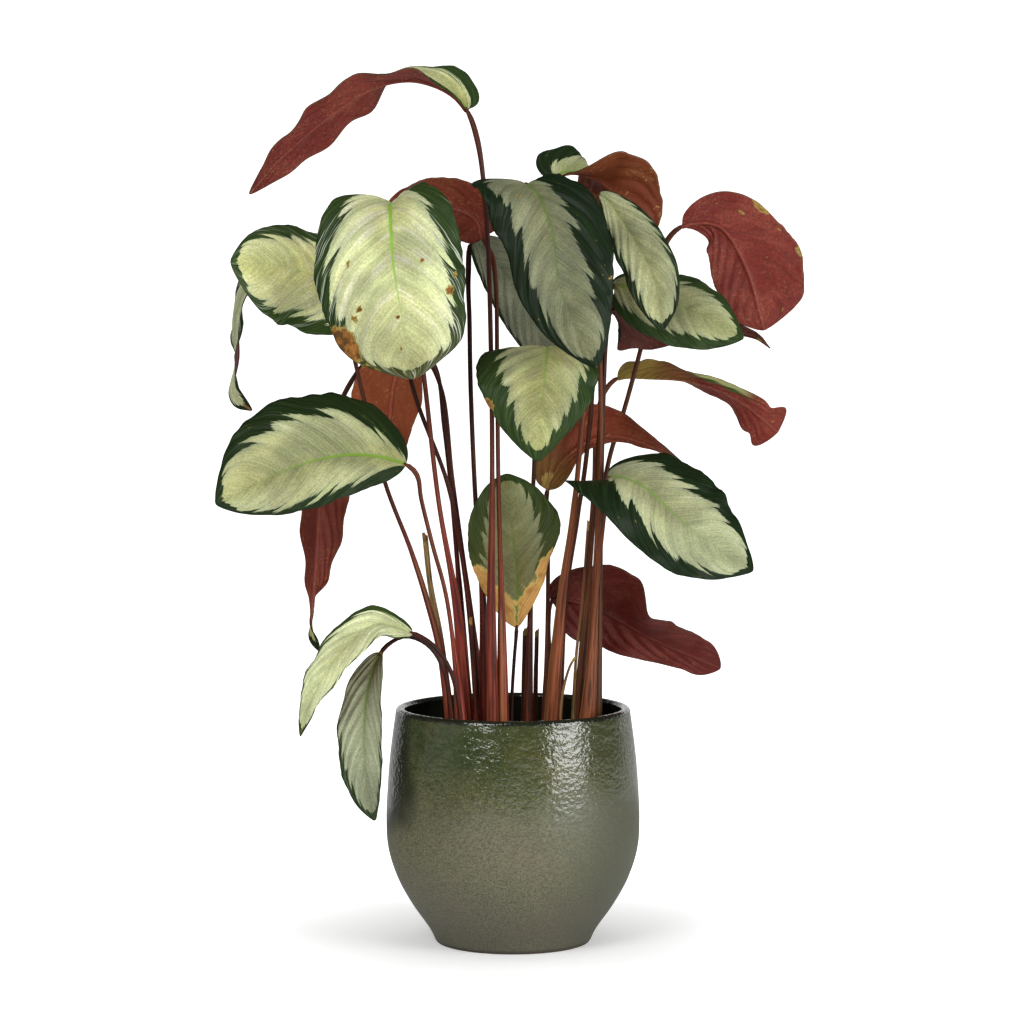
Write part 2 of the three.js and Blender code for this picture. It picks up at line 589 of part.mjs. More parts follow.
function fromManifold(solid) {
  const { vertProperties, triVerts } = solid.getMesh();
  const geometry = new THREE.BufferGeometry();
  geometry.setAttribute('position', new THREE.Float32BufferAttribute(vertProperties, 3));
  geometry.setIndex([...triVerts]);
  geometry.computeVertexNormals();
  return geometry;
}

// An upright cylinder for cutting, from one height to another
function drill(x, y, radius, low, high, sides) {
  const geometry = new THREE.CylinderGeometry(radius, radius, high - low, sides).rotateX(Math.PI / 2);
  return toManifold(geometry.translate(x, y, (low + high) / 2));
}

const NURSERY_FLOOR = POT_FLOOR + TOUCH_GAP;
const NURSERY_RIM = NURSERY_FLOOR + NURSERY_HEIGHT;

// The nursery pot's inner radius at a height
function nurseryInside(z) {
  const share = (z - NURSERY_FLOOR) / NURSERY_HEIGHT;
  return NURSERY_FOOT_RADIUS + (NURSERY_TOP_RADIUS - NURSERY_FOOT_RADIUS) * share - NURSERY_WALL;
}

function nurseryPot() {
  const lipFoot = NURSERY_RIM - NURSERY_LIP_HEIGHT;
  const floorTop = NURSERY_FLOOR + NURSERY_WALL;
  const outerAt = (z) => nurseryInside(z) + NURSERY_WALL;
  const profile = [
    [0, NURSERY_FLOOR], [NURSERY_FOOT_RADIUS, NURSERY_FLOOR], [outerAt(lipFoot), lipFoot],
    [outerAt(lipFoot) + NURSERY_LIP, lipFoot], [NURSERY_TOP_RADIUS + NURSERY_LIP, NURSERY_RIM],
    [nurseryInside(NURSERY_RIM), NURSERY_RIM], [nurseryInside(floorTop), floorTop], [0, floorTop],
  ].map((p) => new THREE.Vector2(...p));
  let pot = toManifold(latheSolid(profile, NURSERY_SIDES));
  for (let i = 0; i < DRAIN_HOLES; i++) {
    const angle = 2 * Math.PI * i / DRAIN_HOLES;
    const [x, y] = [DRAIN_CIRCLE * Math.cos(angle), DRAIN_CIRCLE * Math.sin(angle)];
    const [low, high] = [NURSERY_FLOOR - CUT_PAST, floorTop + CUT_PAST];
    pot = pot.subtract(drill(x, y, DRAIN_RADIUS, low, high, DRAIN_SIDES));
  }
  return named('nursery_pot', fromManifold(pot), 'plastic');
}

// The soil fills the nursery pot, with a plain hole for each stalk
function soil() {
  const floor = NURSERY_FLOOR + NURSERY_WALL + TOUCH_GAP;
  const profile = [
    [0, floor], [nurseryInside(floor) - SOIL_GAP, floor], [nurseryInside(SOIL_TOP) - SOIL_GAP, SOIL_TOP],
    ...SOIL_RINGS.map(([radius, rise]) => [radius, SOIL_TOP + rise]), [0, SOIL_TOP + SOIL_DOME],
  ].map((p) => new THREE.Vector2(...p));
  let body = toManifold(latheSolid(profile, NURSERY_SIDES));
  const feet = [
    ...LEAVES.map((leaf) => ({ foot: leaf.stalk[0], thick: leaf.thick })),
    ...STUBS.map((stub) => ({ foot: stub.path[0], thick: stub.thick })),
  ];
  for (const { foot: [x, y], thick } of feet) {
    const low = STALK_FOOT - TOUCH_GAP;
    const high = SOIL_TOP + SOIL_DOME + CUT_PAST;
    body = body.subtract(drill(x, y, thick + HOLE_CLEARANCE, low, high, HOLE_SIDES));
  }
  return named('potting_soil', fromManifold(body), 'soil');
}

const plant = new THREE.Group();
plant.add(coverPot(), nurseryPot(), soil());
for (const leaf of LEAVES) plant.add(...leafMeshes(leaf));
for (const stub of STUBS) plant.add(stubMesh(stub));

export default plant;
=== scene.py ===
"""A potted prayer plant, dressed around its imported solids.

Every leaf, stalk, pot and the soil is a finer piece in the place of its solid. Lengths are
in metres, and the leaf lists are in millimetres, as in the part's source.
"""

import math
from collections import namedtuple
from types import SimpleNamespace

import bpy
import numpy as np
from bpy.props import FloatProperty, FloatVectorProperty, IntProperty, PointerProperty
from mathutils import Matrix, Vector, noise


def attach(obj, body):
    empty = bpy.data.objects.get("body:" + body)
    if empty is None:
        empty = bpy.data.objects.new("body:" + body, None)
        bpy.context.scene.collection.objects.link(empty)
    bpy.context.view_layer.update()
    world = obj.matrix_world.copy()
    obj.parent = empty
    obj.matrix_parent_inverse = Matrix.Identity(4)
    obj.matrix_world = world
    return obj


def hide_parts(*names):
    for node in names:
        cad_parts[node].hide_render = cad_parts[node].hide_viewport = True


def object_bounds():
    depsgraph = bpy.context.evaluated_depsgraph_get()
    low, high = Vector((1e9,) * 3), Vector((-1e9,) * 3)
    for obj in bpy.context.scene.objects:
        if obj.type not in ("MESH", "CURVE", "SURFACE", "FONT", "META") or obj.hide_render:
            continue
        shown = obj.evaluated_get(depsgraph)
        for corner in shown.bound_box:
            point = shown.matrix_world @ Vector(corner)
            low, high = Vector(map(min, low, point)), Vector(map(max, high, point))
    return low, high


bl_info = {
    "name": "Potted prayer plant",
    "version": (1, 0, 0),
    "blender": (4, 5, 0),
    "location": "3D View > Sidebar > Plant",
    "description": "Builds a silver-leaved prayer plant in a glazed cover pot",
    "category": "Object",
}

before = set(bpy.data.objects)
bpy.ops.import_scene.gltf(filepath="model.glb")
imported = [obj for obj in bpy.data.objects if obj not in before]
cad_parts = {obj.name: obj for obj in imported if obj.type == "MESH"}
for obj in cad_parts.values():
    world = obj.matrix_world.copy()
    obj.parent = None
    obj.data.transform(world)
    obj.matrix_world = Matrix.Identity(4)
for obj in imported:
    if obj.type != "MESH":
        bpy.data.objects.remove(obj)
CAD_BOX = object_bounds()
MM = 0.001

# A leaf as in the part's source: the points of its stalk and of its rib, where its upper
# side faces from base to tip, and its two halves as seen on the upper side, tip up
Leaf = namedtuple("Leaf", "name stalk rib face left right widest wave ripples thick thin")
Half = namedtuple("Half", "wide fold curl lobe", defaults=(0,))
Stub = namedtuple("Stub", "name path thick thin")

LEAVES = (
    Leaf("leaf_01",  # the tallest, arching over to the upper left with its back to the front
         stalk=((-17, -28, 150), (-18, -28, 286), (-17, -24, 385), (-18, -13, 490), (-22, -14, 603),
                (-29, -12, 661)),
         rib=((-38, -8, 686), (-53, -4, 701), (-82, 3, 711), (-115, 8, 705), (-155, 12, 679),
              (-192, 12, 647), (-217, 10, 618)),
         face=((0.7, -0.4, 0.6), (0.4, 0, 0.9), (-0.2, 0.45, 0.85), (-0.2, 0.5, 0.8), (-0.3, 0.6, 0.6)),
         left=Half(wide=27, fold=(25, 10, 0), curl=-15),
         right=Half(wide=(38, 32, 25, 33, 32), fold=(55, 40, 0, 0, 0), curl=-15, lobe=10),
         widest=0.4, wave=2.5, ripples=5, thick=5, thin=2.2),
    Leaf("leaf_02",  # the large front leaf, tip down
         stalk=((-37, -4, 150), (-46, -4, 274), (-61, -10, 365), (-73, -20, 471), (-85, -25, 564)),
         rib=((-97, -30, 608), (-98, -70, 600), (-95, -98, 562), (-89, -108, 525), (-82, -106, 485),
              (-79, -98, 469)),
         face=((0, -0.6, 0.8), (0, -1, 0.15), (0, -1, 0)),
         left=Half(wide=(58, 58, 58, 92), fold=(48, 6, 0), curl=(-20, -35, -20), lobe=14),
         right=Half(wide=(66, 66, 68, 92), fold=(25, 5, 0), curl=(-20, -40, -20), lobe=14),
         widest=0.5, wave=2, ripples=4, thick=4.5, thin=2.2),
    Leaf("leaf_03",  # behind the large front leaf, pointing left
         stalk=((-27, 11, 150), (-36, 9, 272), (-45, 4, 337), (-55, 2, 383), (-77, -2, 442),
                (-97, -6, 507)),
         rib=((-112, 0, 527), (-145, -12, 543), (-188, -25, 560), (-229, -35, 562)),
         face=((-0.1, -0.75, 0.65), (-0.1, -0.8, 0.6)),
         left=Half(wide=(56, 54, 82), fold=5, curl=-20, lobe=8),
         right=Half(wide=(50, 46, 57), fold=5, curl=-20, lobe=8),
         widest=0.5, wave=1.5, ripples=4, thick=4, thin=2),
    Leaf("leaf_04",  # far left, hanging almost edge on
         stalk=((-50, -13, 150), (-59, -12, 238), (-71, -8, 285), (-84, -6, 325), (-105, -4, 380),
                (-123, 0, 451), (-140, 12, 515), (-162, 26, 558)),
         rib=((-185, 32, 566), (-213, 32, 552), (-229, 30, 521), (-229, 28, 484), (-232, 26, 454),
              (-217, 25, 439)),
         face=((-0.5, -0.5, 0.7), (-0.95, -0.32, 0.05), (-1, -0.1, 0), (-0.9, -0.4, -0.1)),
         left=Half(wide=(25, 25, 25, 36), fold=6, curl=-10, lobe=4),
         right=Half(wide=(25, 25, 25, 36), fold=6, curl=-10, lobe=4),
         widest=0.45, wave=3, ripples=3, thick=4, thin=2),
    Leaf("leaf_05",  # left middle, pointing left
         stalk=((-40, -19, 150), (-54, -22, 285), (-66, -25, 332), (-75, -30, 370), (-78, -36, 389)),
         rib=((-87, -40, 398), (-130, -58, 407), (-182, -70, 396), (-239, -72, 368)),
         face=((-0.1, -0.85, 0.5), (-0.1, -0.9, 0.4)),
         left=Half(wide=40, fold=12, curl=-30, lobe=4),
         right=Half(wide=(84, 66, 62), fold=5, curl=-25, lobe=14),
         widest=0.53, wave=1.5, ripples=5, thick=4, thin=2),
    Leaf("leaf_06",  # hanging behind the front leaf, back to the front
         stalk=((-20, 16, 150), (-35, 16, 272), (-50, 14, 382), (-59, 12, 457), (-72, 9, 484)),
         rib=((-86, 8, 492), (-97, 17, 468), (-103, 25, 423), (-106, 24, 380)),
         face=((0.1, 0.95, 0.3), (0.1, 0.95, 0)),
         left=Half(wide=34, fold=10, curl=-20), right=Half(wide=(28, 26, 20, 22), fold=10, curl=-20),
         widest=0.46, wave=1.5, ripples=4, thick=4, thin=2),
    Leaf("leaf_07",  # long and narrow, hanging at the left with its back to the front
         stalk=((-36, 26, 150), (-46, 24, 309), (-57, 24, 424), (-66, 34, 478), (-90, 42, 500),
                (-122, 42, 480)),
         rib=((-146, 36, 441), (-158, 34, 398), (-162, 30, 350), (-164, 26, 312), (-167, 20, 276),
              (-168, 15, 260), (-161, 10, 240)),
         face=((0.3, 0.9, 0.2), (0.3, 0.9, 0), (0.3, 0.9, 0), (0.3, 0.9, 0), (0.3, 0.9, 0), (-0.9, 0.3, 0),
               (-0.3, -0.9, 0.1)),
         left=Half(wide=(22, 24, 24, 22, 15, 2.4, 22), fold=32, curl=-10, lobe=2),
         right=Half(wide=(22, 24, 24, 22, 15, 2.4, 22), fold=25, curl=-10, lobe=2),
         widest=0.42, wave=2.5, ripples=5, thick=4.5, thin=2),
    Leaf("leaf_08",  # lower left, arching out over the rim
         stalk=((-42, -38, 150), (-44, -39, 200), (-52, -42, 232), (-66, -46, 252)),
         rib=((-82, -47, 261), (-112, -58, 270), (-140, -66, 247), (-162, -70, 212), (-172, -72, 180)),
         face=((0, -0.6, 0.8), (-0.5, -0.6, 0.6), (-0.8, -0.5, 0.3)),
         left=Half(wide=25, fold=20, curl=-20, lobe=3), right=Half(wide=25, fold=10, curl=-20, lobe=3),
         widest=0.46, wave=1.5, ripples=4, thick=3.6, thin=2),
    Leaf("leaf_09",  # lower left, hanging down beside the pot
         stalk=((-50, -27, 150), (-52, -28, 200), (-58, -31, 232), (-70, -34, 250), (-86, -36, 257),
                (-97, -38, 254)),
         rib=((-108, -42, 244), (-118, -50, 215), (-121, -54, 172), (-118, -52, 130), (-113, -46, 107)),
         face=((-0.3, -0.9, 0.4), (-0.2, -1, 0)),
         left=Half(wide=18, fold=25, curl=-10, lobe=3), right=Half(wide=22, fold=15, curl=-10, lobe=3),
         widest=0.5, wave=2, ripples=4, thick=3.4, thin=1.8),
    Leaf("leaf_10",  # behind the top of the front leaf, back to the front
         stalk=((-8, -20, 150), (-9, -20, 260), (-12, -18, 385), (-13, -10, 480), (-14, -5, 540),
                (-17, 2, 566)),
         rib=((-25, 12, 582), (-30, 16, 597), (-48, 20, 606), (-80, 22, 604), (-112, 22, 588)),
         face=((0.3, 0.8, 0.4), (0, 0.85, 0.5)),
         left=Half(wide=30, fold=5, curl=-20, lobe=6), right=Half(wide=36, fold=5, curl=-20, lobe=6),
         widest=0.42, wave=1.5, ripples=4, thick=4.6, thin=2),
    Leaf("leaf_11",  # the large centre leaf, tip down
         stalk=((30, -10, 150), (40, -10, 283), (49, -9, 350), (55, -8, 410), (60, -10, 500),
                (48, -16, 575), (28, -24, 612)),
         rib=((11, -30, 625), (20, -56, 616), (31, -72, 588), (36, -80, 550), (44, -84, 522),
              (67, -80, 477)),
         face=((-0.1, -0.6, 0.8), (-0.1, -0.95, 0.3), (0, -1, 0)),
         left=Half(wide=(40, 46, 50), fold=(15, 5, 0), curl=-20, lobe=10),
         right=Half(wide=(86, 50, 38, 34, 32), fold=(20, 5, 0), curl=(0, -20, -20), lobe=50),
         widest=0.46, wave=2, ripples=4, thick=5, thin=2.4),
    Leaf("leaf_12",  # grey leaf behind the centre leaf
         stalk=((-24, 3, 150), (-25, 3, 283), (-31, 8, 367), (-35, 13, 461), (-36, 24, 514),
                (-37, 34, 553)),
         rib=((-34, 34, 578), (-13, 25, 560), (10, 18, 524), (32, 14, 478)),
         face=((0, -0.8, 0.6), (-0.2, -0.9, 0.3)),
         left=Half(wide=34, fold=5, curl=-10), right=Half(wide=(24, 22, 26), fold=5, curl=-10),
         widest=0.5, wave=1.5, ripples=4, thick=4.2, thin=2.2),
    Leaf("leaf_13",  # bright leaf at the centre, its base rolled over to the back
         stalk=((12, -2, 150), (14, 3, 260), (17, 5, 383), (19, 6, 420), (24, 8, 455)),
         rib=((29, -4, 482), (28, -30, 494), (27, -54, 484), (24, -70, 455), (21, -74, 428),
              (20, -70, 402)),
         face=((0, 0, 1), (0, -0.8, 0.6), (0, -1, 0.1), (0, -1, 0)),
         left=Half(wide=(43, 43, 37), fold=0, curl=-15), right=Half(wide=(57, 57, 47), fold=0, curl=-15),
         widest=0.44, wave=1.5, ripples=3, thick=3.8, thin=2),
    Leaf("leaf_14",  # low centre, upright, its lower quarter dried to a golden brown
         stalk=((-2, -4, 150), (-1, -3, 200), (1, -2, 234)),
         rib=((3, -3, 261), (3, -5, 306), (-1, -8, 345), (-4, -6, 376), (-5, 4, 388)),
         face=((0, -1, 0.1), (0, -1, 0.2), (0, -0.5, 0.8)),
         left=Half(wide=38, fold=10, curl=-10), right=Half(wide=(20, 28, 42, 39), fold=10, curl=-10),
         widest=0.55, wave=1.5, ripples=3, thick=2.6, thin=1.6),
    Leaf("leaf_15",  # right of the centre, arching right with its back to the front
         stalk=((26, 16, 150), (29, 18, 282), (29, 20, 335)),
         rib=((29, 25, 374), (48, 32, 404), (78, 34, 418), (118, 32, 409), (158, 28, 382)),
         face=((0.3, 0.9, 0.3), (0.2, 0.95, 0.3), (0.2, 0.9, 0.4), (0.3, 0.5, 0.8), (0.3, 0.4, 0.9)),
         left=Half(wide=(18, 7, 6, 14), fold=0, curl=-15),
         right=Half(wide=(24, 33, 19, 22), fold=(0, 0, -10), curl=-15),
         widest=0.36, wave=1.5, ripples=4, thick=4, thin=2),
    Leaf("leaf_16",  # right, twisted half over on its way out
         stalk=((52, 30, 150), (62, 30, 300), (68, 46, 380), (70, 54, 430), (76, 58, 452)),
         rib=((88, 60, 465), (117, 60, 466), (150, 54, 463), (185, 42, 450), (221, 36, 421)),
         face=((0, 0.8, 0.6), (0, 0.8, 0.6), (0, 0.7, 0.7), (0.3, 0.9, 0.2)),
         left=Half(wide=(40, 34, 26, 22, 20, 18, 20, 30, 100), fold=(53, 50, 30, 5, 0), curl=0),
         right=Half(wide=(85, 42, 26, 21, 18, 17, 18, 20, 90), fold=0, curl=(0, 0, -40, -40, 0, 0)),
         widest=0.6, wave=3, ripples=3, thick=4, thin=2),
    Leaf("leaf_17",  # right, pointing down to the right
         stalk=((58, -20, 150), (64, -18, 240), (72, -16, 330), (76, -20, 368)),
         rib=((78, -25, 386), (103, -42, 382), (143, -58, 348), (194, -60, 313)),
         face=((0.2, -0.8, 0.55), (0.2, -0.85, 0.5)),
         left=Half(wide=(58, 50, 43), fold=5, curl=-20, lobe=6),
         right=Half(wide=(86, 48, 40), fold=(36, 8, 5), curl=(0, -20), lobe=76),
         widest=0.5, wave=1.2, ripples=5, thick=4.4, thin=2.2),
    Leaf("leaf_18",  # low at the right, the base half raised and the outer half drooping
         stalk=((28, 32, 150), (31, 34, 225), (30, 38, 262)),
         rib=((33, 40, 279), (70, 50, 272), (118, 54, 246), (175, 52, 221)),
         face=((0, 0.95, 0.3), (0, 0.9, 0.5), (0, 0.9, 0.4)),
         left=Half(wide=(38, 36, 31, 25, 24, 48), fold=0, curl=-10),
         right=Half(wide=(44, 45, 47, 45, 44, 62), fold=(10, 5, -2, -36, -26, -12, 0), curl=-10),
         widest=0.4, wave=2.5, ripples=3, thick=3.6, thin=2),
    Leaf("leaf_19",  # upper right, broad, back to the front, its base folded open
         stalk=((35, 4, 150), (42, 6, 283), (52, 8, 345), (60, 11, 395), (66, 12, 470), (62, 18, 560),
                (50, 20, 608)),
         rib=((38, 22, 633), (60, 29, 635), (87, 34, 616), (104, 36, 568)),
         face=((0, -0.1, 1), (0, 0, 1), (0, 0.6, 0.8), (0, 0.95, 0.3), (-0.1, 0.95, 0.2),
               (-0.1, 0.95, 0.2)),
         left=Half(wide=(44, 38, 54, 48, 36), fold=(55, 50, 10, 0, 0), curl=-15, lobe=60),
         right=Half(wide=(50, 50, 36, 33), fold=0, curl=-15, lobe=60),
         widest=0.5, wave=2, ripples=4, thick=4.6, thin=2.2),
    Leaf("leaf_20",  # narrow, hanging in front of it
         stalk=((62, -4, 150), (68, -5, 300), (72, -6, 416), (71, -6, 500), (68, -5, 585)),
         rib=((70, -8, 617), (94, -30, 587), (113, -46, 549), (121, -50, 507)),
         face=((-0.5, -0.7, 0.5), (-0.5, -0.85, 0.2)),
         left=Half(wide=(26, 26, 32), fold=20, curl=-10), right=Half(wide=(21, 21, 26), fold=20, curl=-10),
         widest=0.58, wave=1.2, ripples=4, thick=4.6, thin=2.2),
    Leaf("leaf_21",  # right, pointing right behind the narrow one
         stalk=((70, 5, 150), (72, 4, 300), (74, 3, 433), (77, 2, 506)),
         rib=((82, -2, 542), (112, -14, 534), (152, -20, 520), (188, -22, 500)),
         face=((0.1, -0.8, 0.6), (0.1, -0.85, 0.5)),
         left=Half(wide=(34, 32, 29), fold=5, curl=-15, lobe=6),
         right=Half(wide=38, fold=5, curl=-15, lobe=6),
         widest=0.5, wave=1.2, ripples=4, thick=4.2, thin=2.2),
    Leaf("leaf_22",  # right, in its shade, with a long curling tip
         stalk=((52, 12, 150), (63, 12, 300), (71, 11, 415), (76, 13, 490)),
         rib=((82, 20, 522), (123, 28, 517), (166, 32, 508), (200, 31, 502), (214, 30, 491)),
         face=((0, 0.9, 0.4), (0, 0.6, 0.8)),
         left=Half(wide=(56, 34, 20, 10, 6), fold=0, curl=-10),
         right=Half(wide=(30, 30, 26, 18, 8), fold=0, curl=-10),
         widest=0.36, wave=1.5, ripples=4, thick=4.4, thin=2.2),
    Leaf("leaf_23",  # far right, round, back to the front
         stalk=((64, 22, 150), (70, 24, 300), (74, 36, 360), (81, 42, 400), (93, 44, 439), (107, 44, 491),
                (120, 41, 545), (127, 36, 578)),
         rib=((141, 28, 592), (170, 26, 592), (192, 22, 560), (208, 18, 506)),
         face=((0, 0.95, 0.3), (0.1, 1, 0.1)),
         left=Half(wide=(12, 25, 32, 50), fold=5, curl=-10),
         right=Half(wide=(34, 40, 49, 72), fold=5, curl=-10),
         widest=0.5, wave=1.5, ripples=5, thick=4.2, thin=2.2),
)
STUBS = (
    Stub("cut_stalk", path=((-48, 4, 150), (-60, 6, 251), (-68, 8, 292), (-73, 8, 338)),
         thick=3.4, thin=2.6),
    Stub("sheath_left", path=((-29, -14, 150), (-31, -15, 202), (-35, -15, 271)), thick=3.4, thin=1.6),
    Stub("sheath_back", path=((9, 9, 150), (9, 10, 205), (10, 11, 259)), thick=4, thin=2.2),
    Stub("sheath_middle", path=((19, 24, 150), (19, 24, 205), (20, 24, 257)), thick=3.6, thin=2),
    Stub("withered_shoot", path=((40, -20, 150), (40, -19, 202), (47, -18, 231), (52, -18, 239)),
         thick=2.4, thin=1.2),
    Stub("dry_strip", path=((49, -8, 150), (52, -9, 235), (57, -10, 283), (62, -11, 351)),
         thick=2.2, thin=1.2),
)

# How each leaf is marked. `left` and `right` are how far the pale part reaches towards the
# margin, from base to tip. `tone` is painted light and shade over the whole leaf:
# below 1 it darkens a leaf that lies in shade, above 1 it lightens one. `grey` dulls it,
# `pleat` is how deep its side veins fold it, in mm, and each dried patch is a place along and
# across the blade, a radius and how far gone it is. A `turned` leaf shows its upper side where
# the others show their under side. `brown` and `specks` are how brown and how flecked with gold
# its under side is, `green` is how green its dark margin is, `golden` how yellow its dried
# patches are, `slivers` how many pale streaks cross its margin, painted highlights for the
# most part, and how strong the painted sheen on its pale part is, `rib_show` how green its rib,
# `flush` how olive the leaf is from base to tip, and `rolled` the half, 1 for the right, whose
# edge rolls over to show its other face, from one share to another.
Look = namedtuple(
    "Look", "left right tone grey pleat dried turned brown specks green golden slivers rib_show flush rolled",
    defaults=(1.0, 0.0, 0.6, (), False, 0.3, 0.3, 0.15, 0.0, 0.0, 0.6, (0, 0), (0, 0, 0)))
LOOKS = {
    "leaf_01": Look((0.3, 0.6, 0.78), (0.45, 0.95, 1.0, 0.9), 1.0, 0.0, 0.9, brown=0.0, green=0.6,
        dried=((1.0, 0.0, 0.03, 0.8),)),
    "leaf_02": Look((0.55, 0.66, 0.78, 0.78, 0.7), (0.72, 0.72, 0.8, 0.82, 0.7), 1.25, 0.25, 1.6, green=0.6,
        slivers=0.9, rib_show=1.0, flush=(0, 0, 0, 0, 0, 0.1, 0.35), dried=((0.8, 0.92, 0.09, 1.05),
        (0.46, 0.55, 0.013, 0.9), (0.48, -0.42, 0.013, 0.9), (0.7, 0.62, 0.022, 0.6),
        (0.72, 0.05, 0.011, 0.9), (0.66, 0.52, 0.016, 0.8), (0.64, -0.76, 0.026, 0.75),
        (0.85, 0.1, 0.009, 0.9), (0.57, -0.84, 0.012, 0.8), (0.6, 0.3, 0.006, 0.8),
        (0.78, -0.3, 0.006, 0.8), (0.9, 0.95, 0.06, 0.42))),
    "leaf_03": Look((0.8, 0.76, 0.82, 0.8), (0.8, 0.74, 0.7, 0.8), 1.28, 0.0, 0.4, green=0.9, slivers=0.3,
        rib_show=0.2),
    "leaf_04": Look((0.8, 0.8, 0.75), (0.8, 0.8, 0.75), 1.0, 0.5, 0.5, dried=((1.0, 0.0, 0.06, 1.0),)),
    "leaf_05": Look((0.4, 0.78, 0.86, 0.86), (0.35, 0.66, 0.66, 0.78), 0.9, 0.15, 0.6, green=0.25,
        rib_show=0.9),
    "leaf_06": Look((0.7, 0.7, 0.7), (0.7, 0.7, 0.7), 1.65, 0.0, 0.8, brown=0.9),
    "leaf_07": Look((0.7, 0.7, 0.8), (0.7, 0.7, 0.8), 1.0, 0.0, 0.8, dried=((0.86, 0.0, 0.05, 0.7),)),
    "leaf_08": Look((0.9, 1.0, 1.0, 0.9), (0.5, 0.8, 0.9, 0.8), 1.7, 0.35, 0.4, green=1.0, rib_show=0.1,
        dried=((1.0, 0.0, 0.05, 0.7),)),
    "leaf_09": Look((1.0, 0.98, 0.9, 0.7), (1.0, 0.98, 0.8, 0.6), 0.92, 0.8, 1.3, green=0.5, slivers=0.3,
        flush=(0.4, 0.15, 0, 0)),
    "leaf_10": Look((0.7, 0.7, 0.7), (0.7, 0.7, 0.7), 1.1, 0.0, 0.7, brown=0.4, specks=0.4),
    "leaf_11": Look((0.4, 0.42, 0.58, 0.78), (0.85, 0.6, 0.62, 0.8), 0.43, 0.45, 1.3, green=0.0,
        rib_show=0.55, dried=((0.16, 0.34, 0.01, 0.9), (0.62, -0.93, 0.01, 0.8))),
    "leaf_12": Look((1.0, 1.0, 0.9), (0.8, 0.9, 0.9), 0.5, 0.8, 0.6, rib_show=0.0),
    "leaf_13": Look((0.85, 0.8, 0.64, 0.4), (0.8, 0.68, 0.58, 0.4), 0.8, 0.0, 0.9, green=0.6,
        flush=(0.75, 0, 0, 0, 0, 0), dried=((0.1, 0.95, 0.08, 0.9), (0.0, 0.4, 0.03, 0.6),
        (0.0, -0.5, 0.04, 0.6), (0.7, 0.98, 0.04, 0.8))),
    "leaf_14": Look((0.9, 0.8, 0.62, 0.5), (0.9, 0.7, 0.58, 0.5), 0.52, 0.0, 0.5, green=0.8, golden=1.0,
        rib_show=0.8, flush=(0, 0.3, 0.15, 0), dried=((0.02, 0.9, 0.3, 1.0), (0.02, -0.9, 0.3, 1.0),
        (0.16, 0.7, 0.15, 0.9), (0.16, -0.7, 0.13, 0.9), (0.36, 0.98, 0.11, 0.85),
        (0.32, -0.98, 0.12, 0.85), (0.45, 0.96, 0.04, 0.7))),
    "leaf_15": Look((0.7, 0.7, 0.7), (0.7, 0.7, 0.7), 1.3, 0.0, 0.8, brown=0.6, golden=1.0,
        flush=(0.6, 0, 0, 0), dried=((0.0, 0.3, 0.1, 0.55),)),
    "leaf_16": Look((0.7, 0.7, 0.7), (0.9, 0.9, 0.5), 1.12, 0.0, 0.7, brown=0.1, green=1.0,
        flush=(0.95, 0.8, 0.35, 0, 0, 0, 0), rolled=(1, 0.38, 0.8)),
    "leaf_17": Look((0.72, 0.58, 0.66, 0.8), (0.3, 0.52, 0.72, 0.84), 0.8, 0.45, 0.5, green=0.05),
    "leaf_18": Look((0.7, 0.7, 0.7), (0.7, 0.7, 0.7), 0.86, 0.1, 0.9, brown=0.0, specks=0.0),
    "leaf_19": Look((0.6, 0.7, 0.7), (0.6, 0.7, 0.7), 0.9, 0.0, 0.9, brown=1.0, specks=1.0, rib_show=0.8),
    "leaf_20": Look((0.9, 0.9, 0.88, 0.8), (0.8, 0.82, 0.74, 0.74), 1.02, 0.4, 0.5, green=0.2, slivers=0.15,
        rib_show=0.15),
    "leaf_21": Look((0.7, 0.74, 0.74, 0.6), (0.7, 0.7, 0.66, 0.5), 0.64, 0.1, 0.6, green=0.5),
    "leaf_22": Look((0.7, 0.7, 0.7), (0.7, 0.7, 0.7), 0.6, 0.2, 0.8, dried=((1.0, 0.0, 0.1, 0.7),)),
    "leaf_23": Look((0.7, 0.7, 0.7), (0.7, 0.7, 0.7), 1.0, 0.0, 0.8, brown=0.0, specks=0.2,
        dried=((0.32, 0.96, 0.04, 0.6), (0.6, 0.97, 0.03, 0.55), (0.28, 0.6, 0.02, 0.5),
        (0.45, 0.9, 0.015, 0.6))),
}

# How far the sheath at a stalk's foot swells, and how light each stalk is, partly its own colour
# and partly painted light and shade
SWOLLEN = {
    "leaf_01": 1.2, "leaf_02": 1.45, "leaf_05": 1.65, "leaf_10": 1.25, "leaf_11": 1.3, "leaf_12": 1.3,
    "leaf_13": 1.2, "leaf_17": 1.65, "leaf_19": 1.2, "leaf_20": 1.35, "leaf_22": 1.2, "sheath_left": 1.8,
    "sheath_back": 1.3, "sheath_middle": 1.4,
}
STALK_SHADES_AND_TONES = (
    0.8, 1.25, 0.6, 0.8, 1.3, 0.9, 0.6, 0.6, 0.5, 1.15, 1.1, 0.45, 0.55, 0.3, 1.0, 0.9, 1.1, 0.9, 0.7, 1.0,
    0.5, 0.75, 0.6)
BARE_STALK_TONE = 0.9
DRY_STUBS = ("dry_strip", "withered_shoot", "cut_stalk")

# How far a side vein leans towards the tip, how much more it bends there, and how many there are
VEIN_LEAN = 0.24
VEIN_BEND = 0.17
VEINS = 8

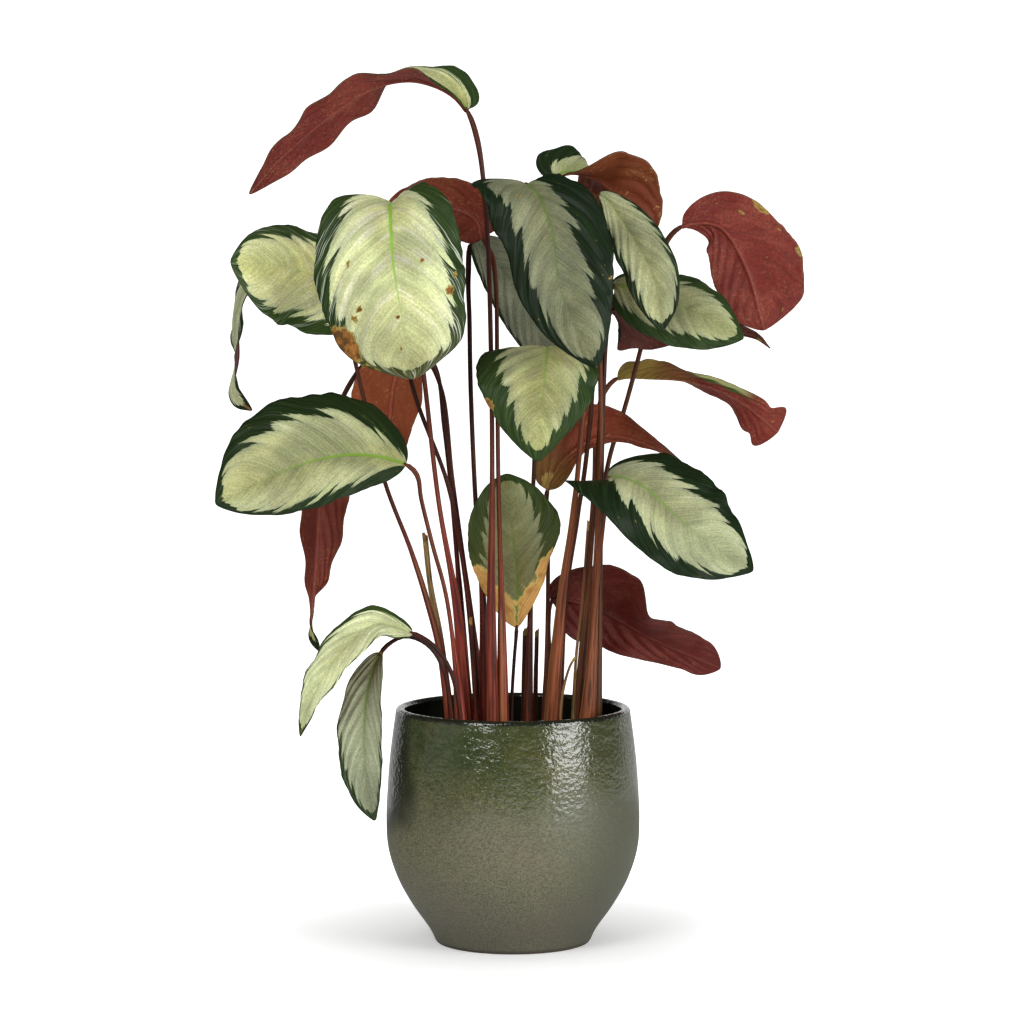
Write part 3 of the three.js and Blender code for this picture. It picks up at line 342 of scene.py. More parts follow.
# The cover pot's outside in mm, radius and height, from the foot's edge to below the lip
POT_OUTLINE = (
    (65, 2), (70, 12), (84, 32), (96, 54), (103.5, 78), (105, 102), (104, 128), (102, 154),
    (99, 178), (97, 192))
POT_HEIGHT = 195
POT_FOOT_RADIUS = 64
POT_WALL = 7.5
POT_FLOOR = 9
POT_CORNER = 18
FOOT_RING_HEIGHT = 1.4
INNER_FLOOR_RADIUS = 60
NURSERY_FLOOR = 9.3
NURSERY_RIM = 157.3
NURSERY_FOOT_RADIUS = 57
NURSERY_TOP_RADIUS = 82
NURSERY_WALL = 1.6
DRAIN_HOLES = 6
DRAIN_CIRCLE = 38
DRAIN_RADIUS = 5
SOIL_TOP = 146
SOIL_CROWN = 3.4
SOIL_GAP = 0.5
STALK_FOOT = 132

# Where two faces meet at more than this, they show an edge
POT_EDGE = math.radians(50)
STALK_EDGE = math.radians(60)

# How much of a blade's length, and then of its width, the edge of a rolled half takes to fade
ROLL_FADE = 0.12
ROLL_EDGE = (0.3, 0.38)


# Settings


def colour_setting(name, description, default):
    return FloatVectorProperty(name=name, description=description, default=default, size=3, subtype="COLOR")


def length_setting(name, description, default):
    return FloatProperty(name=name, description=description, default=default, unit="LENGTH")


def power_setting(name, description, default):
    return FloatProperty(name=name, description=description, default=default, subtype="POWER")


class PlantPotSettings(bpy.types.PropertyGroup):
    sides: IntProperty(name="Sides", description="Faces round the pot", default=144, min=24)
    gloss_height: length_setting("Gloss height", "Height where the glaze turns from satin to gloss", 0.122)
    peel_depth: length_setting("Peel depth", "Depth of the glossy glaze's dimples", 0.00075)
    green: colour_setting("Green", "Glossy glaze", (0.084, 0.082, 0.024))
    clay: colour_setting("Clay", "Satin glaze low on the pot", (0.142, 0.130, 0.064))


class PlantLeafSettings(bpy.types.PropertyGroup):
    rows: IntProperty(name="Rows", description="Faces along a blade", default=104, min=12)
    columns: IntProperty(name="Columns", description="Faces across a blade", default=48, min=8)
    thickness: length_setting("Thickness", "Blade at its margin", 0.0006)
    rib: length_setting("Rib", "Blade at its rib, near the base", 0.0026)
    pale: colour_setting("Pale", "Silver part of the upper side", (0.475, 0.468, 0.165))
    margin: colour_setting("Margin", "Dark part of the upper side", (0.0045, 0.0105, 0.0035))
    rib_green: colour_setting("Rib green", "Rib on the upper side", (0.19, 0.34, 0.040))
    wine: colour_setting("Wine", "Under side", (0.185, 0.021, 0.014))
    dried: colour_setting("Dried", "Dried patches", (0.21, 0.085, 0.018))


class PlantStalkSettings(bpy.types.PropertyGroup):
    sides: IntProperty(name="Sides", description="Faces round a stalk", default=18, min=6)
    step: length_setting("Step", "Length of a stalk's faces", 0.005)
    low: colour_setting("Low", "Sheathing base of a stalk", (0.250, 0.074, 0.026))
    high: colour_setting("High", "Upper part of a stalk", (0.070, 0.016, 0.008))


class PlantSoilSettings(bpy.types.PropertyGroup):
    crumbs: IntProperty(name="Crumbs", description="Loose crumbs on the soil", default=260, min=0)
    colour: colour_setting("Colour", "Moist potting soil", (0.020, 0.012, 0.008))


class PlantStageSettings(bpy.types.PropertyGroup):
    camera: FloatVectorProperty(
        name="Camera", description="Where the camera stands", default=(-0.0008, -2.776, 0.553), size=3,
        subtype="TRANSLATION")
    tilt: FloatProperty(
        name="Tilt", description="How far the camera looks down", default=math.radians(4.05), subtype="ANGLE")
    lens: FloatProperty(name="Lens", description="Focal length in mm", default=118.6)
    key: power_setting("Key", "Left window light", 23.0)
    fill: power_setting("Fill", "Right window light", 27.0)
    top: power_setting("Top", "Light above", 16.0)
    room: FloatProperty(name="Room", description="Brightness of the room", default=0.40)


# Shaping by hand


def clear_selection():
    if bpy.context.object and bpy.context.object.mode != "OBJECT":
        bpy.ops.object.mode_set(mode="OBJECT")
    bpy.ops.object.select_all(action="DESELECT")


def pick(piece):
    clear_selection()
    piece.select_set(True)
    bpy.context.view_layer.objects.active = piece


def apply_modifier(piece, kind, **settings):
    pick(piece)
    bpy.ops.object.modifier_add(type=kind)
    modifier = piece.modifiers[-1]
    for key, value in settings.items():
        setattr(modifier, key, value)
    bpy.ops.object.modifier_apply(modifier=modifier.name)


def new_sheet(name, across, along):
    """A flat grid, -1 to 1 both ways, and the two coordinates of its points."""
    clear_selection()
    bpy.ops.mesh.primitive_grid_add(x_subdivisions=across, y_subdivisions=along, size=2)
    sheet = bpy.context.object
    sheet.name = sheet.data.name = name
    places = np.zeros(len(sheet.data.vertices) * 3)
    sheet.data.vertices.foreach_get("co", places)
    return sheet, places.reshape(-1, 3)[:, 0], places.reshape(-1, 3)[:, 1]


def move_points(piece, places):
    """Puts the points at their places in mm, kept within the solids' box."""
    low, high = (np.array(corner) for corner in CAD_BOX)
    piece.data.vertices.foreach_set("co", np.clip(places * MM, low, high).ravel())
    piece.data.update()


def map_sheet(piece, across, along):
    """Writes the two shares of each point as the piece's UV map."""
    layer = piece.data.uv_layers[0]
    layer.name = "place"
    corners = np.zeros(len(piece.data.loops), int)
    piece.data.loops.foreach_get("vertex_index", corners)
    layer.data.foreach_set("uv", np.stack([across[corners], along[corners]], 1).ravel())


def paint(piece, name, values):
    """Keeps a number at each point, or the same one at all of them, for the materials."""
    layer = piece.data.attributes.new(name, "FLOAT", "POINT")
    layer.data.foreach_set("value", np.full(len(piece.data.vertices), values, float))


def close_mesh(distance):
    """Merges what touches in the mesh being edited, and points its faces outwards."""
    bpy.ops.mesh.select_all(action="SELECT")
    bpy.ops.mesh.remove_doubles(threshold=distance)
    bpy.ops.mesh.normals_make_consistent(inside=False)


def turned(name, profile, sides):
    """A round piece from its profile, radius and height in mm, turned about the Z axis."""
    clear_selection()
    bpy.ops.mesh.primitive_plane_add(size=MM)
    piece = bpy.context.object
    piece.name = piece.data.name = name
    bpy.ops.object.mode_set(mode="EDIT")
    bpy.ops.mesh.merge(type="CENTER")
    points = [Vector((radius * MM, 0, height * MM)) for radius, height in profile]
    bpy.ops.transform.translate(value=points[0])
    for start, end in zip(points, points[1:]):
        bpy.ops.mesh.extrude_region_move(TRANSFORM_OT_translate={"value": end - start})
    bpy.ops.mesh.select_all(action="SELECT")
    bpy.ops.mesh.spin(steps=sides, angle=2 * math.pi, center=(0, 0, 0), axis=(0, 0, 1))
    close_mesh(0.00001)
    bpy.ops.object.mode_set(mode="OBJECT")
    bpy.ops.object.shade_smooth_by_angle(angle=POT_EDGE)
    return piece


def stand_for(piece, node, *materials):
    """Gives a piece its materials, and puts it in the place of a solid."""
    for material in materials:
        piece.data.materials.append(material)
    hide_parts(node)
    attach(piece, "root")


# Lines and surfaces of a leaf


def smooth_step(value, low, high):
    share = np.clip((value - low) / (high - low), 0, 1)
    return share * share * (3 - 2 * share)


def bell(value, middle, width):
    """1 where the value is at the middle, and falling off to 0 on both sides of it."""
    return np.exp(-(((value - middle) / width) ** 2))


def spread(values, shares):
    """One value, or a list spread evenly from base to tip, at each share."""
    values = np.asarray(values, float)
    if values.ndim == 0:
        return np.full(len(shares), float(values))
    place = np.clip(shares, 0, 1) * (len(values) - 1)
    start = np.minimum(place.astype(int), len(values) - 2)
    step = smooth_step(place - start, 0, 1)
    if values.ndim == 2:
        step = step[:, None]
    return values[start] * (1 - step) + values[start + 1] * step


def scaled(directions, amounts):
    """Each direction times its own amount."""
    return directions * amounts[:, None]


def unit(directions):
    return directions / np.linalg.norm(directions, axis=1)[:, None]


class LeafLine:
    """The smooth line through a leaf's points, as places along its length between two of them."""

    def __init__(self, points, first=0.0, last=1.0):
        points = np.array(points, float)
        ends = 2 * points[0] - points[1], 2 * points[-1] - points[-2]
        self.points = np.vstack([ends[0], points, ends[1]])
        self.spans = len(points) - 1
        self.marks = np.linspace(first, last, 400)
        steps = np.linalg.norm(np.diff(self.place(self.marks), axis=0), axis=1)
        self.lengths = np.concatenate([[0], np.cumsum(steps)])
        self.total = self.lengths[-1]

    def place(self, marks):
        marks = np.clip(marks, 0, 1) * self.spans
        start = np.minimum(marks.astype(int), self.spans - 1)
        t = (marks - start)[:, None]
        a, b, c, d = (self.points[start + i] for i in range(4))
        ab, bc, cd = (np.sqrt(np.linalg.norm(q - p, axis=1))[:, None] for p, q in ((a, b), (b, c), (c, d)))
        out = ((b - a) / ab - (c - a) / (ab + bc) + (c - b) / bc) * bc
        into = ((c - b) / bc - (d - b) / (bc + cd) + (d - c) / cd) * bc
        return b + out * t + (3 * (c - b) - 2 * out - into) * t**2 + (2 * (b - c) + out + into) * t**3

    def at(self, shares):
        """The places at these shares of the length, and which way the line runs there."""
        marks = np.interp(np.asarray(shares) * self.total, self.lengths, self.marks)
        return self.place(marks), unit(self.place(marks + 1e-4) - self.place(marks - 1e-4))


def leaf_lines(leaf):
    """The line of a leaf's stalk, from its foot in the soil, and that of its rib."""
    points = ((*leaf.stalk[0][:2], STALK_FOOT), *leaf.stalk, *leaf.rib)
    base = (len(leaf.stalk) + 1) / (len(leaf.stalk) + len(leaf.rib))
    return LeafLine(points, 0, base), LeafLine(points, base, 1)


def outline(leaf, shares):
    """Half the blade's width, as a share of its widest."""
    rounded = np.sin(np.pi * np.clip(shares, 0, 1) ** (math.log(0.5) / math.log(leaf.widest)))
    return np.clip(rounded, 0, 1) ** 0.52 * (1 - 0.5 * shares**10)


def wavering(shares, across, rate, seed, left, right):
    """A wandering number for each point, with a seed for the leaf and one for each of its halves."""
    return np.array([noise.noise(Vector((u * rate, seed, left if v < 0 else right)))
                     for u, v in zip(shares, across)])


def blade_points(leaf, look, shares, across):
    """The upper side of a blade, and how far each point is from the rib, both in mm."""
    left, reach = across < 0, np.abs(across)

    def both(key):
        halves = (spread(getattr(half, key), shares) for half in (leaf.left, leaf.right))
        return np.where(left, *halves)

    point, along = leaf_lines(leaf)[1].at(shares)
    up = spread(leaf.face, shares)
    up = unit(up - scaled(along, np.sum(up * along, axis=1)))
    full = outline(leaf, shares)
    seed = float(leaf.name[-2:])
    ragged = wavering(shares, across, 9, seed, 3.1, 7.7)
    fine = wavering(shares, across, 26, seed, 5.3, 1.9)
    wide = np.maximum(both("wide") * full, 0.5) * (1 + 0.03 * ragged * reach + 0.02 * fine * reach)
    fold = np.radians(both("fold"))
    curl = np.radians(both("curl"))
    curl = np.where(np.abs(curl) < 0.001, 0.001, curl)
    bend = fold + curl * reach
    out = wide * (np.sin(bend) - np.sin(fold)) / curl
    rise = wide * (np.cos(fold) - np.cos(bend)) / curl
    ripples = np.sin(2 * np.pi * leaf.ripples * shares + np.where(left, 1, 3))
    rise += leaf.wave * full * reach**3 * ripples
    rise += (1.4 * ragged + 0.6 * fine) * full * reach**4
    vein = shares - VEIN_LEAN * reach - VEIN_BEND * reach**3
    pleats = np.cos(2 * np.pi * (vein * VEINS + np.where(left, 0.5, 0)))
    rise += look.pleat * pleats * full * np.sin(np.pi * np.clip(reach, 0, 1)) ** 0.8
    rise -= 0.5 * bell(wide * reach, 0, 2.4) * full
    lobe = both("lobe") * full * reach**2 * (1 - shares) ** 4
    places = point + scaled(np.cross(along, up), np.sign(across) * out) + scaled(up, rise)
    return places - scaled(along, lobe), wide * reach


# Wiring of the materials


class Value:
    """What a node puts out, and the arithmetic that goes on from it."""

    def __init__(self, wire, socket):
        self.wire = wire
        self.socket = socket

    def __add__(self, other):
        return self.wire.math("ADD", self, other)

    def __sub__(self, other):
        return self.wire.math("SUBTRACT", self, other)

    def __rsub__(self, other):
        return self.wire.math("SUBTRACT", other, self)

    def __mul__(self, other):
        return self.wire.math("MULTIPLY", self, other)

    def __truediv__(self, other):
        return self.wire.math("DIVIDE", self, other)

    def __abs__(self):
        return self.wire.math("ABSOLUTE", self)

    def span(self, low, high, to_low=0.0, to_high=1.0):
        """Goes smoothly from one number to the other while this value goes from low to high."""
        given = enumerate((self, low, high, to_low, to_high))
        return self.wire.add("ShaderNodeMapRange", given, interpolation_type="SMOOTHSTEP")


class Wiring:
    """Short calls that add nodes to a tree and join them."""

    def __init__(self, tree):
        self.tree = tree

    def feed(self, socket, value):
        if isinstance(value, Value):
            self.tree.links.new(value.socket, socket)
        elif socket.type == "RGBA" and len(value) == 3:
            socket.default_value = (*value, 1)
        else:
            socket.default_value = value

    def node(self, kind, given=(), **settings):
        node = self.tree.nodes.new(kind)
        for key, value in settings.items():
            setattr(node, key, value)
        for key, value in dict(given).items():
            self.feed(node.inputs[key], value)
        return node

    def add(self, kind, given=(), output=0, **settings):
        """Adds a node, feeds the inputs that are given, and reads one of its outputs."""
        return Value(self, self.node(kind, given, **settings).outputs[output])

    def read(self, node):
        """All that a node puts out, by name."""
        named = {socket.name.lower().replace(" ", "_"): Value(self, socket) for socket in node.outputs}
        return SimpleNamespace(**named)

    def math(self, operation, *values):
        return self.add("ShaderNodeMath", enumerate(values), operation=operation)

    def mix(self, share, first, second, blend="MIX"):
        given = {0: share, 6: first, 7: second}
        return self.add("ShaderNodeMix", given, 2, data_type="RGBA", blend_type=blend)

    def layers(self, colour, *coats):
        """A colour with others laid over it in turn, each by its share."""
        for share, coat in coats:
            colour = self.mix(share, colour, coat)
        return colour

    def toned(self, colour, tone):
        """A colour made lighter or darker."""
        return self.mix(1.0, colour, self.join(tone, tone, tone), "MULTIPLY")

    def noise(self, place, scale, detail=2.0, roughness=0.5):
        given = {"Vector": place, "Scale": scale, "Detail": detail, "Roughness": roughness}
        return self.add("ShaderNodeTexNoise", given, "Fac")

    def chance(self, value):
        """A number from 0 to 1, another for each whole number that the value passes."""
        whole = self.math("FLOOR", value)
        return self.add("ShaderNodeTexWhiteNoise", {"W": whole}, "Value", noise_dimensions="1D")

    def split(self, vector):
        node = self.node("ShaderNodeSeparateXYZ", {0: vector})
        return [Value(self, socket) for socket in node.outputs]

    def join(self, x, y, z=0.0):
        return self.add("ShaderNodeCombineXYZ", enumerate((x, y, z)))

    def painted(self, name):
        """A number that was painted on the piece's points."""
        return self.add("ShaderNodeAttribute", output="Fac", attribute_name=name)

    def object_place(self):
        return self.add("ShaderNodeTexCoord", output="Object")

    def sheet_place(self):
        return self.add("ShaderNodeUVMap", uv_map="place")

    def group(self, tree, **given):
        named = {key.capitalize(): value for key, value in given.items()}
        return self.read(self.node("ShaderNodeGroup", named, node_tree=tree))


def new_group(name, **inputs):
    """The wiring of an empty node group, and its inputs, each made from its kind and default."""
    tree = bpy.data.node_groups.new(name, "ShaderNodeTree")
    for key, (kind, *default) in inputs.items():
        kind = "NodeSocket" + kind
        socket = tree.interface.new_socket(key.capitalize(), in_out="INPUT", socket_type=kind)
        if default:
            socket.default_value = default[0]
    wire = Wiring(tree)
    return wire, wire.read(wire.node("NodeGroupInput"))


def finish_group(wire, **outputs):
    """Gives a node group its outputs, and the group itself."""
    named = {label.replace("_", " ").capitalize(): value for label, value in outputs.items()}
    for label, value in named.items():
        kind = "NodeSocketColor" if value.socket.type == "RGBA" else "NodeSocketFloat"
        wire.tree.interface.new_socket(label, in_out="OUTPUT", socket_type=kind)
    wire.node("NodeGroupOutput", named)
    return wire.tree


def new_material(name):
    material = bpy.data.materials.new(name)
    material.use_nodes = True
    return material, Wiring(material.node_tree)


def finish_material(material, wire, colour, roughness, height=None, depth=0.001, strength=1.0, specular=0.5,
                    ior=1.5):
    """Feeds a material's shader, with a bump of some depth where it has a height."""
    shader = material.node_tree.nodes["Principled BSDF"].inputs
    wire.feed(shader["Base Color"], colour)
    wire.feed(shader["Roughness"], roughness)
    shader["Specular IOR Level"].default_value = specular
    shader["IOR"].default_value = ior
    if height:
        given = {"Strength": strength, "Distance": depth, "Height": height}
        wire.feed(shader["Normal"], wire.add("ShaderNodeBump", given))
    return material


def vein_group():
    """Where a place lies among the side veins, as bands, fine lines and streaks."""
    wire, given = new_group("side_veins", place=("Vector",), bands=("Float", 9.0), lines=("Float", 70.0))
    x, along, _ = wire.split(given.place)
    reach = abs(x * 2.0 - 1.0)
    side = wire.math("GREATER_THAN", x, 0.5)
    vein = along - reach * (reach * reach * VEIN_BEND + VEIN_LEAN)
    wander = wire.noise(wire.join(vein * 3.0, side * 9.0), 2.0, 0.0)
    bands = vein * given.bands + (wander * 1.2 + side)
    band = wire.math("FRACT", bands)
    lines = vein * given.lines + side * 40.0
    line = wire.math("FRACT", lines)
    chance = wire.chance(lines)
    tooth = wire.math("MINIMUM", line / 0.7, (1.0 - line) / 0.3)
    return finish_group(
        wire, reach=reach, along=along,
        band=band.span(-0.1, 0.7) * band.span(1.0, 0.84), band_chance=wire.chance(bands),
        line=abs(line * 2.0 - 1.0), line_chance=chance, tooth=tooth * (chance * 0.75 + 0.25),
        streak=wire.noise(wire.join(vein * 60.0, reach * 2.5, side), 1.0),
        wide_streak=wire.noise(wire.join(vein * 19.0, reach * 1.8, side), 1.0))


def dried_group():
    """A dried patch: a ragged brown middle in a thin yellow edge, laid over a colour."""
    wire, given = new_group(
        "dried_patch", colour=("Color",), dried=("Float", 0.0), brown=("Color", (0.3, 0.12, 0.03, 1)),
        golden=("Float", 0.0), place=("Vector",), fibre=("Float", 0.5))
    ragged = (given.fibre - 0.5) * 0.6 + wire.noise(given.place, 160.0, 4.0, 0.6)
    level = (ragged - 0.5) * 1.3 + given.dried
    middle = level.span(0.44, 0.66)
    mottle = wire.noise(given.place, 420.0, 3.0)
    cloud = wire.noise(given.place, 130.0, 3.0)
    brown = wire.layers(
        given.brown, (mottle.span(0.40, 0.62), (0.33, 0.14, 0.030)),
        (cloud.span(0.44, 0.60, 0.0, 0.85), (0.075, 0.038, 0.011)))
    gold = wire.layers(
        (0.44, 0.215, 0.052), (given.fibre.span(0.38, 0.60), (0.68, 0.40, 0.13)),
        (cloud.span(0.52, 0.70, 0.0, 0.5), (0.30, 0.12, 0.030)))
    edging = wire.mix(given.golden, (0.30, 0.23, 0.055), (0.52, 0.38, 0.10))
    colour = wire.layers(
        given.colour, (level.span(0.26, 0.44), edging), (middle, wire.mix(given.golden * 0.9, brown, gold)))
    return finish_group(wire, colour=colour, share=middle)


def leaf_patch(wire, dried, colour, brown, place, fibre):
    """A leaf's dried patches over its colour."""
    return wire.group(
        dried, colour=colour, dried=wire.painted("dried"), brown=brown, golden=wire.painted("golden"),
        place=place, fibre=fibre)


def silver_colour(wire, settings, veins, place, level):
    """The pale part: silver green, with drifts, streaks and bright threads, broad bands of painted sheen and
    painted shade along the side veins, and painted shade in their folds.
    """
    calm = veins.along.span(0.95, 0.5, 0.25, 1.0)
    # How strong this leaf's painted highlight slivers and painted sheen are
    slivers = wire.painted("slivers").span(0.0, 0.8, 0.3, 1.0)
    thread = veins.line.span(0.72, 0.95) * veins.line_chance.span(0.3, 0.9) * calm
    silver = wire.layers(
        (0.30, 0.36, 0.15), (level.span(0.0, 0.16), settings.pale),
        (wire.noise(place, 13.0).span(0.4, 0.62, 0.0, 0.6), (0.40, 0.45, 0.21)),
        (veins.reach.span(0.12, 0.6, 0.0, 0.3), (0.56, 0.58, 0.38)),
        # Broad bands along the side veins: the darker ones are painted shade between the pleats, the pale
        # pinkish ones painted sheen on their ridges
        (veins.wide_streak.span(0.52, 0.36, 0.0, 0.34) * calm, (0.30, 0.36, 0.15)),
        (veins.wide_streak.span(0.50, 0.66, 0.0, 0.65) * calm * slivers, (0.64, 0.61, 0.46)),
        (thread * 0.15, (0.66, 0.66, 0.46)), (wire.painted("grey"), (0.40, 0.44, 0.30)))
    drift = wire.noise(place, 24.0, 3.0).span(0.35, 0.65, 0.76, 1.14)
    mottle = wire.noise(place, 620.0, 3.0, 0.7).span(0.38, 0.62, 0.84, 1.12)
    # Darker along the folds at the side veins: painted shade
    fold = veins.band.span(0.9, 0.0) * veins.along.span(0.9, 0.5, 0.03, 0.15)
    streaks = veins.line.span(0.0, 1.0, 0.95, 1.02) * veins.streak.span(0.35, 0.65, 0.89, 1.08)
    lift = streaks * mottle * (1.02 - fold) * drift * veins.reach.span(0.0, 0.5, 0.88, 1.04)
    # The whole leaf is made darker where it lies in shade and lighter where it is lit: painted light and
    # shade
    return wire.toned(silver, lift * wire.painted("tone"))


def margin_colour(wire, settings, veins):
    """The dark part: deep green, greener on some leaves, crossed by pale slivers that are painted highlights
    on its ridges for the most part, with some pale streaks of its own.
    """
    # Pale slivers across the margin: painted highlight streaks for the most part
    glint_sliver = veins.streak.span(0.52, 0.60) * veins.wide_streak.span(0.47, 0.56) * veins.along.span(0.2, 0.36)
    leafy = wire.mix(veins.streak.span(0.3, 0.8), (0.020, 0.043, 0.009), (0.062, 0.110, 0.022))
    return wire.layers(
        settings.margin, (veins.streak.span(0.35, 0.8), (0.011, 0.028, 0.007)),
        (wire.painted("green"), leafy), (glint_sliver * wire.painted("slivers"), (0.50, 0.54, 0.44)))


def face_material(settings, side_veins, dried):
    """The upper side: silver with feathered edges in a dark glossy margin, a green rib."""
    material, wire = new_material("leaf_upper_side")
    place = wire.object_place()
    veins = wire.group(side_veins, place=wire.sheet_place(), bands=8.0, lines=50.0)
    feather = (veins.band - 0.6) * (veins.band_chance * 0.15 + 0.06) + (veins.tooth - 0.28) * 0.075
    level = wire.painted("pale_edge") + feather - veins.along.span(0.9, 1.0) * 1.1
    silver = level.span(0.0, 0.02)
    rib = (wire.painted("rib_distance") / veins.along.span(0.0, 0.9, 2.1, 0.55)).span(0.6, 1.1, 1.0, 0.0)
    rib = rib * veins.along.span(0.3, 0.93, 1.0, 0.0) * wire.painted("rib_show")
    colour = wire.layers(
        margin_colour(wire, settings, veins), (silver, silver_colour(wire, settings, veins, place, level)),
        # The rib's green carries the leaf's painted light and shade too
        (rib, wire.toned(settings.rib_green, wire.painted("tone"))),
        (wire.painted("flush"), (0.12, 0.085, 0.016)))
    patch = leaf_patch(wire, dried, colour, settings.dried, place, veins.streak)
    rough = wire.math("MAXIMUM", silver.span(0.0, 1.0, 0.44, 0.38), patch.share * 0.7)
    height = veins.line * silver.span(0.0, 1.0, 0.15, 0.3) + veins.streak * silver.span(0.0, 1.0, 0.2, 0.9)
    height += veins.band * 0.8 + wire.noise(place, 800.0) * 0.3
    return finish_material(material, wire, patch.colour, rough, height, 0.0009, 0.5, specular=0.17)


def wine_colour(wire, settings, veins, place, drift, mottle, vein):
    """The under side's red, from the leaf as a whole to its rib, its edge and its gold specks."""
    from_rib = wire.painted("rib_distance")
    brown = wire.painted("brown") * wire.noise(place, 20.0, 3.0).span(0.35, 0.6, 0.6, 1.0)
    specks = wire.noise(place, 420.0, 3.0, 0.75).span(0.57, 0.64) * wire.noise(place, 48.0).span(0.42, 0.54)
    return wire.layers(
        settings.wine, (drift.span(0.4, 0.6), (0.250, 0.044, 0.028)),
        (veins.streak.span(0.42, 0.66, 0.0, 0.28), (0.085, 0.013, 0.011)),
        (veins.line.span(0.6, 1.0, 0.0, 0.2), (0.26, 0.052, 0.034)),
        (mottle.span(0.40, 0.60, 0.5, 0.0), (0.060, 0.012, 0.010)),
        (brown, (0.185, 0.045, 0.013)), (vein * 0.12, (0.27, 0.054, 0.034)),
        (from_rib.span(0.5, 1.2, 0.5, 0.0), (0.25, 0.060, 0.036)),
        (abs(from_rib - 1.5).span(0.5, 0.1, 0.0, 0.5), (0.065, 0.012, 0.010)),
        (veins.reach.span(0.94, 1.0, 0.0, 0.5), (0.16, 0.07, 0.03)),
        (specks * wire.painted("specks"), (0.46, 0.25, 0.09)), (wire.painted("grey"), (0.06, 0.022, 0.022)))


def back_material(settings, side_veins, dried):
    """The under side: wine red, with a paler rib and side veins."""
    material, wire = new_material("leaf_under_side")
    place = wire.object_place()
    veins = wire.group(side_veins, place=wire.sheet_place(), bands=11.0, lines=64.0)
    drift = wire.noise(place, 34.0, 3.0)
    mottle = wire.noise(place, 480.0, 4.0, 0.75)
    vein = veins.band.span(0.0, 0.35, 1.0, 0.0)
    wine = wine_colour(wire, settings, veins, place, drift, mottle, vein)
    olive = wire.mix(veins.streak.span(0.35, 0.65), (0.150, 0.105, 0.018), (0.30, 0.22, 0.040))
    upper_side = wire.mix(veins.reach.span(0.5, 0.66), (0.055, 0.10, 0.020), (0.50, 0.51, 0.20))
    # The under side is made darker in shade and lighter where it is lit: painted light and shade
    colour = wire.layers(
        wire.toned(wine, wire.painted("tone")), (wire.painted("flush"), olive),
        (wire.painted("rolled"), upper_side))
    patch = leaf_patch(wire, dried, colour, settings.dried, place, veins.streak)
    rough = drift.span(0.3, 0.7, 0.42, 0.58)
    height = veins.line * 0.4 + veins.streak * 0.8 + vein * 0.4 + mottle * 0.6
    return finish_material(material, wire, patch.colour, rough, height, 0.0006, 0.45, specular=0.22)


def stalk_material(name, low, high, dried):
    """A stalk: long streaks of painted highlight and painted shade, paler low down where it sheathes, darker
    and redder above.
    """
    material, wire = new_material(name)
    place = wire.object_place()
    x, along, _ = wire.split(wire.sheet_place())
    # How light the whole stalk is: partly its own colour and partly painted light and shade
    tone = wire.painted("tone")
    streak = wire.noise(wire.join(x * 14.0, along * 5.0, tone), 1.0, 3.0, 0.6)
    fine = wire.noise(wire.join(x * 44.0, along * 14.0), 1.0)
    side = wire.split(place)[0]
    height = (streak - 0.5) * 0.7 + along
    top = wire.mix(side.span(0.0, 0.07), high, (0.155, 0.046, 0.016))
    lit = wire.mix(height.span(0.2, 0.9), (0.36, 0.120, 0.042), (0.20, 0.056, 0.020))
    colour = wire.layers(
        (0.340, 0.046, 0.032), (side.span(-0.035, 0.01), (0.210, 0.046, 0.020)),
        (side.span(0.01, 0.055), low), (height.span(0.12, 0.75), top),
        # The lighter streaks are painted highlights, the near-black ones painted shade
        (streak.span(0.50, 0.64, 0.0, 0.5), lit), (streak.span(0.50, 0.38, 0.0, 0.85), (0.032, 0.008, 0.005)),
        (fine.span(0.5, 0.66, 0.0, 0.6), (0.040, 0.010, 0.006)),
        (wire.painted("hem") * 0.6, (0.34, 0.20, 0.07)))
    patch = wire.group(
        dried, colour=wire.toned(colour, tone), dried=wire.painted("dried"), brown=(0.36, 0.20, 0.07),
        place=place)
    rough = fine.span(0.3, 0.7, 0.36, 0.54)
    return finish_material(
        material, wire, patch.colour, rough, streak + fine * 0.6, 0.0005, 0.5, specular=0.22)


def glossy_glaze(wire, settings, squashed, height, cloud, weave, grain):
    """The green of the upper part, with a belt of pale speckles where it thins out."""
    belt = height.span(0.178, 0.140) * weave.span(0.40, 0.66)
    return wire.layers(
        settings.green, (cloud.span(0.4, 0.62), (0.048, 0.066, 0.020)), (belt * 0.75, (0.160, 0.164, 0.066)),
        (wire.noise(squashed, 60.0, 3.0, 0.6).span(0.45, 0.62, 0.0, 0.45), (0.096, 0.104, 0.046)),
        (grain.span(0.40, 0.60, 0.6, 0.0), (0.022, 0.027, 0.010)))


def satin_glaze(wire, settings, place, z, weave, grain):
    """The clay colour of the lower part, speckled dark and pale."""
    middle = z.span(0.045, 0.09) * weave.span(0.42, 0.66, 0.0, 0.75)
    return wire.layers(
        (0.034, 0.039, 0.018), (grain.span(0.40, 0.60), settings.clay), (middle, (0.168, 0.164, 0.074)),
        (wire.noise(place, 1900.0, 1.0).span(0.58, 0.68, 0.0, 0.8), (0.24, 0.235, 0.15)),
        (wire.noise(place, 17.0).span(0.52, 0.7, 0.0, 0.25), (0.115, 0.080, 0.045)))


